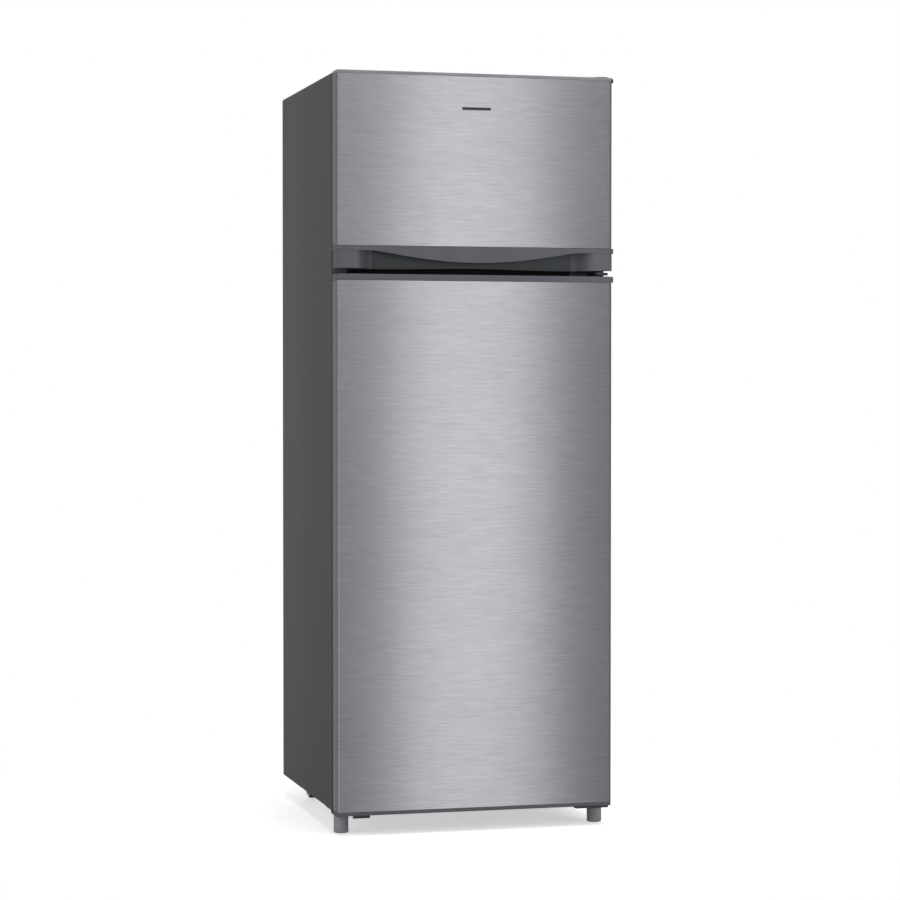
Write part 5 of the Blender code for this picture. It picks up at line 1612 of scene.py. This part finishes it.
@dataclass
class FridgeBox:
    """Fridge compartment: its liner with the step over the compressor, its shelves and its drawer."""

    step_front: float = 35 * MM
    step_top: float = 300 * MM
    corner: float = 14 * MM
    shelves: Sequence[str] = ("crisper_cover", "lower_shelf", "middle_shelf", "upper_shelf")

    def profile(self, grow: float, start: float) -> list[Point]:
        """Return the space from the side, with its step.

        Args:
            grow: How far it is widened on every side but the front.
            start: Its front end.

        Returns:
            The outline.
        """
        low, high = shrunk((FRIDGE.floor, FRIDGE.ceiling), -grow)
        inner, back, step = self.step_front + grow, FRIDGE.back + grow, self.step_top - grow
        return [(start, low), (inner, low), (inner, step), (back, step), (back, high), (start, high)]

    def liner(self) -> Piece:
        """Form the liner with soft corners, its ledges and its gutter.

        Returns:
            The liner.
        """
        x, y, z = spans("fridge_liner")
        width = (-FRIDGE.half, FRIDGE.half)
        shell = slab("fridge_liner_formed", self.profile(SHEET, y[0]), "X", shrunk(width, -SHEET))
        fuse(shell, tile("flange", x, z, 1 * MM, "Y", (y[0], y[0] + SHEET), 3))
        hollow = slab("hollow", self.profile(0.0, y[0] - 30 * MM), "X", width)
        carve(shell, bevel(hollow, 9, 5, 60))
        rails = []
        for name in self.shelves:
            start = spans(name + "_trim")[1][1] + 0.3 * MM
            rails += ledge_pair(FRIDGE.half, spans(name + "_glass")[2][0], (start, FRIDGE.back + 1 * MM))
        gutter = tile("gutter", around(0.0, 120 * MM), around(self.step_top + 19 * MM, 3 * MM), 2.9 * MM, "Y",
                      (FRIDGE.back - 3 * MM, FRIDGE.back + 1 * MM), 5)
        fuse(shell, *rails, bevel(gutter, 1.2, 2, 60))
        return place(shell, "root", LINER, ["fridge_liner"])

    def drawer(self) -> Piece:
        """Mould the crisper with a thick rim and a grip.

        Returns:
            The drawer.
        """
        x, y, z = spans("crisper_drawer")
        front = y[0] + 7 * MM
        low, high = z
        profile = steps(low, (3, 0), (1.2, 0.6), (0.4, 2), (0.6, 12))
        profile += steps(high, (0.6, -9), (0, -8), (0, -1), (0.7, 0), (2.6, 0), (3.2, -1), (2.4, -10))
        profile += steps(low, (2.4, 6), (4, 3), (7, 2))
        shell = tub("crisper_drawer_moulded", x, (front, y[1]), self.corner, profile)
        grip = tile("grip", (x[0] / 2, x[1] / 2), (high - 14 * MM, high - 7 * MM), 3.4 * MM, "Y",
                    (y[0], front + 1.5 * MM))
        return place(fuse(shell, bevel(grip, 1.5, 3, 60)), "crisper", CLEAR, ["crisper_drawer"])

    def build(self) -> None:
        """Build the compartment with its shelves."""
        self.liner()
        for name in self.shelves:
            GlassShelf(name).build()
        self.drawer()


@dataclass
class ControlBox:
    """Box on the fridge's ceiling with the lamp, the thermostat's knob and the door switch."""

    knob_radius: float = 16 * MM
    marks: int = 8
    grooves: int = 24
    louvres: int = 6
    prisms: int = 16
    threads: int = 5

    def housing(self) -> None:
        """Mould the housing with a louvred front, its bores and the switch's bezel."""
        x, y, z = spans("thermostat_housing")
        lens = spans("lamp_lens")
        shell = bevel(tile("thermostat_housing_moulded", x, y, 6 * MM, "Z", z), 1.5, 3, 60)
        gap = 0.3 * MM
        bay = block("bay", shrunk(lens[0], -gap), shrunk(lens[1], -gap), (z[0] - 5 * MM, z[1] - 4 * MM))
        carve(shell, bay)
        middle = middle_of(z)
        knob = joint_place("thermostat_knob_turn")
        for i in range(self.louvres):
            louvre = tile("louvre", (x[0] + 14 * MM, knob[0] - 40 * MM),
                          around(middle + (i * 5 - 12.5) * MM, 1 * MM), 0.95 * MM, "Y",
                          (y[0] - 1 * MM, y[0] + 1.4 * MM), 4)
            carve(shell, louvre)
        switch = spans("lamp_switch")
        spot = (middle_of(switch[0]), middle)
        shaft = rod("shaft", 3.4 * MM, (y[0] - 5 * MM, y[0] + 21 * MM), "Y", (knob[0], middle), 20)
        guide = rod("guide", 4.3 * MM, (y[0] - 5 * MM, switch[1][1] + 0.6 * MM), "Y", spot, 20)
        place(carve(shell, shaft, guide), "root", LINER, ["thermostat_housing"])
        ring = steps(y[0], (4.5, -1.2), (6.6, -1.2), (7.2, -0.2), (4.5, -0.2))
        place(lathe("switch_bezel", ring, "Y", spot, 28, True), "root", LINER)

    def dial(self) -> None:
        """Mould the knob with its grip and its pointer, and print the dial's marks."""
        y = spans("thermostat_knob")[1]
        across, _, height = joint_place("thermostat_knob_turn")
        face = spans("thermostat_housing")[1][0]
        r = self.knob_radius
        rim = r / MM
        profile = steps(y[0], (rim - 2.6, 0), (rim - 1.4, 0.7), (rim - 1, 3))
        profile += steps(face, (rim - 1, -3.2), (rim, -2.4), (rim, -0.3), (3, -0.3)) + steps(y[1], (3, 0))
        knob = lathe("thermostat_knob_moulded", profile, "Y", (across, height), 48)
        grip = arc((across, height), r - 0.8 * MM, 0, 360, self.grooves)[:-1]
        for spot in grip:
            carve(knob, rod("groove", 0.7 * MM, (y[0] - 1 * MM, face - 3.4 * MM), "Y", spot, 8))
        place(knob, "thermostat_knob", LINER, ["thermostat_knob"], 30)
        pointer = tile("knob_pointer", around(across, 0.9 * MM), (height + 5 * MM, height + r - 3.2 * MM),
                       0.8 * MM, "Y", (y[0] - 0.4 * MM, y[0] + 0.3 * MM), 4)
        place(pointer, "thermostat_knob", MARK)
        ticks = []
        for i in range(self.marks):
            turn = math.radians(225 - 270 * i / (self.marks - 1))
            away = Vector((math.cos(turn), math.sin(turn)))
            side = Vector((-away[1], away[0])) * (0.35 * MM)
            inner, outer = (Vector((across, height)) + away * (r + reach * MM)
                            for reach in (1.0, 1.6 + 0.3 * i))
            outline = [tuple(corner) for corner in (inner + side, inner - side, outer - side, outer + side)]
            ticks.append(slab("tick", outline, "Y", (face - 0.15 * MM, face + 0.1 * MM)))
        place(joined("dial_marks", ticks), "root", MARK)

    def switch(self) -> None:
        """Turn the lamp switch's plunger with a round end."""
        x, y, z = spans("lamp_switch")
        profile = steps(y[0], (0.6, 0), (2.4, 0.4), (3.6, 1.6), (4, 3.2)) + steps(y[1], (4, 0))
        plunger = lathe("lamp_switch_plunger", profile, "Y", (middle_of(x), middle_of(z)), 28)
        place(plunger, "lamp_switch", LINER, ["lamp_switch"], 40)

    def lamp(self) -> None:
        """Blow the bulb, roll its cap and mould the lens with its prisms."""
        x, y, z = spans("lamp_bulb")
        centre = (middle_of(y), middle_of(z))
        belly = 12 * MM
        glass = [(belly * math.cos(t) ** 0.8, x[0] + belly - belly * math.sin(t) + 1 * MM)
                 for t in (math.radians(a) for a in (88, 70, 50, 30, 10, 0))]
        neck = part_way(x, 0.62)
        glass += [(belly, part_way(x, 0.4)), (9.5 * MM, part_way(x, 0.52)), (7.2 * MM, neck)]
        place(lathe("lamp_bulb_blown", glass, "X", centre), "root", BULB, ["lamp_bulb"], 50)
        profile = []
        for i in range(self.threads):
            profile += steps(neck + (0.2 + i * 4) * MM, (6.2, 0), (7.1, 1), (7.1, 2), (6.2, 3))
        cap = lathe("lamp_cap_rolled", profile + steps(x[1], (4, -2), (2, 0)), "X", centre, 28)
        place(cap, "root", ALUMINIUM, (), 40)
        x, y, z = spans("lamp_lens")
        lens = bevel(block("lamp_lens_moulded", x, y, z), 0.5)
        prisms = []
        for i in range(self.prisms):
            a = part_way(shrunk(x, 3 * MM), (i + 0.5) / self.prisms)
            outline = [(a - 3 * MM, z[1] - 0.2 * MM), (a + 3 * MM, z[1] - 0.2 * MM), (a, z[1] + 1.2 * MM)]
            prisms.append(slab("prism", outline, "Y", shrunk(y, 3 * MM)))
        place(fuse(lens, *prisms), "root", CLEAR, ["lamp_lens"], 25)

    def build(self) -> None:
        """Build the box with its parts."""
        self.housing()
        self.dial()
        self.switch()
        self.lamp()


# ---------------------------------------------------------------- cooling circuit


@dataclass
class Condenser:
    """Wire condenser on the back: its tube, its upright wires and its straps."""

    tube: float = 2.5 * MM
    wire: float = 0.75 * MM
    pitch: float = 80 * MM
    margin: float = 35 * MM
    above_base: float = 60 * MM
    below_top: float = 140 * MM
    weld_bite: float = 0.96
    wires: int = 34
    strap_half: float = 7 * MM
    strap_spread: float = 160 * MM

    def build(self) -> None:
        """Bend the tube, weld the wires and press the straps."""
        _, y, _ = spans("condenser_coil")
        base = spans("cabinet_base")[2][1]
        low, high = base + self.above_base, PLAN.top - self.below_top
        reach = PLAN.side - self.margin
        pairs = round((high - low) / (2 * self.pitch))
        pitch = (high - low) / (2 * pairs)
        plane = y[1] - 1 * MM - self.tube
        self.coil(plane, base, (low, high), reach, pitch)
        wires = []
        for layer in (-1, 1):
            depth = plane + layer * (self.tube + self.wire) * self.weld_bite
            first = rod("wire", self.wire, shrunk((low, high), -14 * MM), "Z", (0.0, depth), 6)
            half = reach - pitch / 2 - 4 * MM
            places = [(half * (2 * i / (self.wires - 1) - 1) + layer * 1.5 * MM, 0.0, 0.0)
                      for i in range(self.wires)]
            wires += copied(first, places)
        place(joined("condenser_wires", wires), "root", ENAMEL, (), 60)
        self.straps(y[1], (low, high), pitch)

    def coil(self, plane: float, base: float, height: Point, reach: float, pitch: float) -> None:
        """Bend the tube up from the bay, to and fro, and down to the drier.

        Args:
            plane: The depth of its runs.
            base: The cabinet base's upper face, where it starts.
            height: The heights of its first and last run.
            reach: How far its bends reach to both sides.
            pitch: The distance between its runs.
        """
        low, high = height
        route = bend([(-reach, plane, base), (-reach, plane, low), (0.0, plane, low)], pitch / 2)[:-1]
        for row in range(round((high - low) / pitch)):
            side = 1 if row % 2 == 0 else -1
            middle = low + (row + 0.5) * pitch
            route += [Vector((side * (reach - pitch / 2 + a), plane, b))
                      for a, b in arc((0.0, middle), pitch / 2, -90, 90, 10)]
        x, y, z = spans("filter_drier")
        drier_x, drier_y, above = middle_of(x), middle_of(y), z[1] + 10 * MM
        corner = bend([route[-1], (drier_x, plane, high), (drier_x, plane, above), (drier_x, drier_y, above),
                       (drier_x, drier_y, z[1] + PLAN.clear)], 8 * MM)
        tube = pipe("condenser_tube", route + corner[1:], self.tube, 3)
        place(tube, "root", ENAMEL, ["condenser_coil"], 60)

    def straps(self, out: float, height: Point, pitch: float) -> None:
        """Press the two straps with their stepped legs and drive their screws.

        Args:
            out: The depth of the straps' outer face.
            height: The heights of the tube's first and last run.
            pitch: The distance between its runs.
        """
        low, high = height
        wall = PLAN.cabinet_back + PLAN.clear
        foot = wall + SHEET
        straps, screws = [], []
        for sign in (-1, 1):
            across = around(sign * self.strap_spread, self.strap_half)
            for middle in (low + pitch / 2, high - pitch / 2):
                outline = [(wall, middle - 22 * MM), (foot, middle - 22 * MM), (foot, middle - 7 * MM),
                           (out - 0.9 * MM, middle - 7 * MM), (out - 0.9 * MM, middle + 7 * MM),
                           (out - 2.4 * MM, middle + 7 * MM), (out - 2.4 * MM, middle - 5.5 * MM),
                           (wall, middle - 5.5 * MM)]
                straps.append(bevel(slab("leg", outline, "X", across), 0.4, 2, 60))
                screws.append(screw("Y", (sign * self.strap_spread, middle - 14 * MM), foot, 1))
            strap = tile("strap", across, shrunk(height, -10 * MM), 4 * MM, "Y", (out - 1.2 * MM, out), 4)
            straps.append(bevel(strap, 0.3, 2, 60))
        place(joined("condenser_straps", straps), "root", ENAMEL, (), 40)
        place(joined("condenser_screws", screws), "root", ZINC)


@dataclass
class Compressor:
    """Hermetic compressor with its feet, its bushes, its cover and the tray on top."""

    radius: float = 77.5 * MM
    dome: float = 26 * MM
    sheet: float = 3 * MM
    ground: float = 17.7 * MM
    bush_reach: Point = (82 * MM, 45 * MM)

    def cup(self, name: str, seam: float, end: float) -> Piece:
        """Draw one deep cup of the shell.

        Args:
            name: The cup's name.
            seam: The height of its rim.
            end: The height of its closed end.

        Returns:
            The cup.
        """
        way = 1 if end > seam else -1
        r, dome = self.radius, self.dome
        turns = [math.radians(a) for a in range(0, 91, 10)]
        outer = [(r - dome + dome * math.cos(t), end - way * (dome * 0.62) * (1 - math.sin(t)) - way * 4 * MM)
                 for t in turns]
        crown = [(r * 0.45, end - way * 1.2 * MM), (r * 0.2, end - way * 0.2 * MM), (1 * MM, end)]
        ceiling = end - way * self.sheet
        inner = [(1 * MM, ceiling - way * 3 * MM), (r * 0.5, ceiling - way * 4 * MM),
                 (r - self.sheet, ceiling - way * dome), (r - self.sheet, seam)]
        return lathe(name, [(r, seam)] + outer + crown + inner, "Z", self.centre(), 56)

    def centre(self) -> Point:
        """Return the place of the compressor's axis."""
        x, y, _ = spans("compressor_upper_shell")
        return middle_of(x), middle_of(y)

    def build(self) -> None:
        """Build the compressor and what is fixed to it."""
        x, y = self.centre()
        low, high = spans("compressor_lower_shell")[2]
        bottom = low + self.ground
        lower = self.cup("compressor_lower_cup", high, bottom)
        feet = tile("feet", around(x, 92 * MM), around(y, 55 * MM), 12 * MM, "Z", around(bottom, 1.5 * MM))
        waists = [tile("waist", around(x + side * 92 * MM, 26 * MM), around(y, 28 * MM), 12 * MM, "Z",
                       (low, bottom + 5 * MM)) for side in (-1, 1)]
        fuse(lower, bevel(carve(feet, *waists), 0.8, 2, 60))
        place(lower, "root", ENAMEL, ["compressor_lower_shell"])
        upper = self.cup("compressor_upper_cup", high + PLAN.clear, spans("compressor_upper_shell")[2][1])
        place(upper, "root", ENAMEL, ["compressor_upper_shell"])
        bead = arc((self.radius - 1 * MM, high), 2.2 * MM, 0, 360, 10)[:-1]
        place(lathe("compressor_weld_seam", bead, "Z", (x, y), 56, True), "root", ENAMEL, (), 60)
        self.bushes((x, y), low, bottom)
        self.tray()
        self.cover()

    def bushes(self, centre: Point, low: float, bottom: float) -> None:
        """Mould the four rubber bushes and drive their bolts.

        Args:
            centre: The place of the compressor's axis.
            low: The height of the plate that the bushes stand on.
            bottom: The height of the compressor's feet.
        """
        profile = steps(low, (3.4, 0), (8, 0), (8.6, 2), (7, 5), (8, 8), (7, 11))
        profile += steps(bottom, (8, -2), (3.4, -1.8))
        spots = [(centre[0] + a * self.bush_reach[0], centre[1] + b * self.bush_reach[1])
                 for a in (-1, 1) for b in (-1, 1)]
        bushes = [lathe("bush", profile, "Z", spot, 24, True) for spot in spots]
        bolts = [screw("Z", spot, bottom + 1.6 * MM, 1, 5 * MM) for spot in spots]
        place(joined("compressor_bushes", bushes), "root", SEAL, (), 40)
        place(joined("compressor_bolts", bolts), "root", ZINC)

    def tray(self) -> None:
        """Mould the drip tray with a lip."""
        x, y, (low, high) = spans("drip_tray")
        profile = steps(low, (2, 0), (0.8, 1))
        profile += steps(high, (1.2, -3), (0, -2.5), (0, -0.5), (0.6, 0), (2.4, 0), (3, -1))
        profile += steps(low, (3, 4), (6, 1.5))
        place(tub("drip_tray_moulded", x, y, 14 * MM, profile), "root", BLACK_PLASTIC, ["drip_tray"], 40)

    def cover(self, notches: int = 5) -> None:
        """Mould the starter's cover with grooves along its front and the gland beside it.

        Args:
            notches: How many grooves it has.
        """
        x, y, z = spans("starter_cover")
        right = x[1] - 10 * MM
        shell = bevel(block("starter_cover_moulded", (x[0], right), y, z), 3, 4)
        for i in range(notches):
            middle = part_way(z, (i + 1) / (notches + 1))
            carve(shell, block("notch", (x[0] + 6 * MM, right + 5 * MM), (y[0] - 5 * MM, y[0] + 1 * MM),
                               around(middle, 1.2 * MM)))
        centre = (middle_of(y), middle_of(z))
        profile = steps(right, (8.2, -1), (8.2, 2), (6.6, 3)) + steps(x[1], (6.2, -0.6), (5.6, 0))
        bore = rod("bore", 4 * MM, (right - 3 * MM, x[1] + 5 * MM), "X", centre)
        fuse(shell, lathe("gland", profile, "X", centre, 28))
        place(carve(shell, bore), "root", BLACK_PLASTIC, ["starter_cover"])


@dataclass
class Pipework:
    """Copper pipes, the filter drier and the capillary tube."""

    radius: float = 3 * MM
    bend_radius: float = 10 * MM

    def run(self, node: str, route: Sequence[Sequence[float]]) -> None:
        """Bend one copper pipe along a route."""
        tube = pipe(node + "_bent", bend(route, self.bend_radius), self.radius, 4)
        place(tube, "root", COPPER, [node], 60)

    def build(self) -> None:
        """Bend the pipes and spin the drier."""
        shell_x, shell_y, _ = spans("compressor_upper_shell")
        middle = middle_of(shell_y)
        base = spans("cabinet_base")[2][1]
        x, y, z = spans("discharge_pipe")
        start, low = shell_x[0] - PLAN.clear, z[0] + self.radius
        riser = (x[0] + self.radius, y[1] - self.radius)
        self.run("discharge_pipe", [(start, middle, low), (middle_of((start, riser[0])), middle, low),
                                    (*riser, low), (*riser, base - PLAN.clear)])
        x, y, z = spans("suction_pipe")
        start, low, top = shell_x[1] + PLAN.clear, z[0] + self.radius, z[1] - self.radius
        riser = (x[1] - self.radius, y[1] - self.radius)
        inside = spans("evaporator_plate")[1][1] + PLAN.clear
        self.run("suction_pipe", [(start, middle, low), (start + 38.75 * MM, middle, low), (*riser, low),
                                  (*riser, top), (riser[0], inside, top)])
        x, y, z = spans("filter_drier")
        centre = (middle_of(x), middle_of(y))
        profile = steps(z[0], (3.4, 0), (3.6, 3), (7, 8), (9, 12), (9, 20), (8.4, 21.5), (9, 23))
        profile += steps(z[1], (9, -12), (7, -8), (3.8, -3), (3.4, 0))
        place(lathe("filter_drier_spun", profile, "Z", centre, 36), "root", COPPER, ["filter_drier"], 45)
        dip = z[0] - 12 * MM
        beside = (riser[0] - 6 * MM, riser[1] - 6 * MM)
        capillary = [(*centre, z[0] + 1 * MM), (*centre, dip), (centre[0] - 46 * MM, centre[1], dip),
                     (*beside, z[0] + 30 * MM), (*beside, low - 8 * MM)]
        place(pipe("capillary_tube", bend(capillary, 9 * MM), 1 * MM, 2), "root", COPPER, (), 60)


# ---------------------------------------------------------------- everything in order


def main() -> None:
    """Build the studio and every sub-assembly."""
    logging.basicConfig(level=logging.INFO, format="%(message)s")
    Studio().build()
    Cabinet().build()
    Door("freezer_door", FREEZER, ("freezer_door_bin_lower", "freezer_door_bin_upper")).build()
    Door("fridge_door", FRIDGE, ("door_bin_bottle", "door_bin_middle", "door_bin_upper")).build()
    HandleTrim().build()
    Badge().build()
    FreezerBox().build()
    FridgeBox().build()
    ControlBox().build()
    Compressor().build()
    Condenser().build()
    Pipework().build()
    dress(ALUMINIUM, "evaporator_plate")
    dress(ZINC, "compressor_pump")


if __name__ == "__main__":
    main()
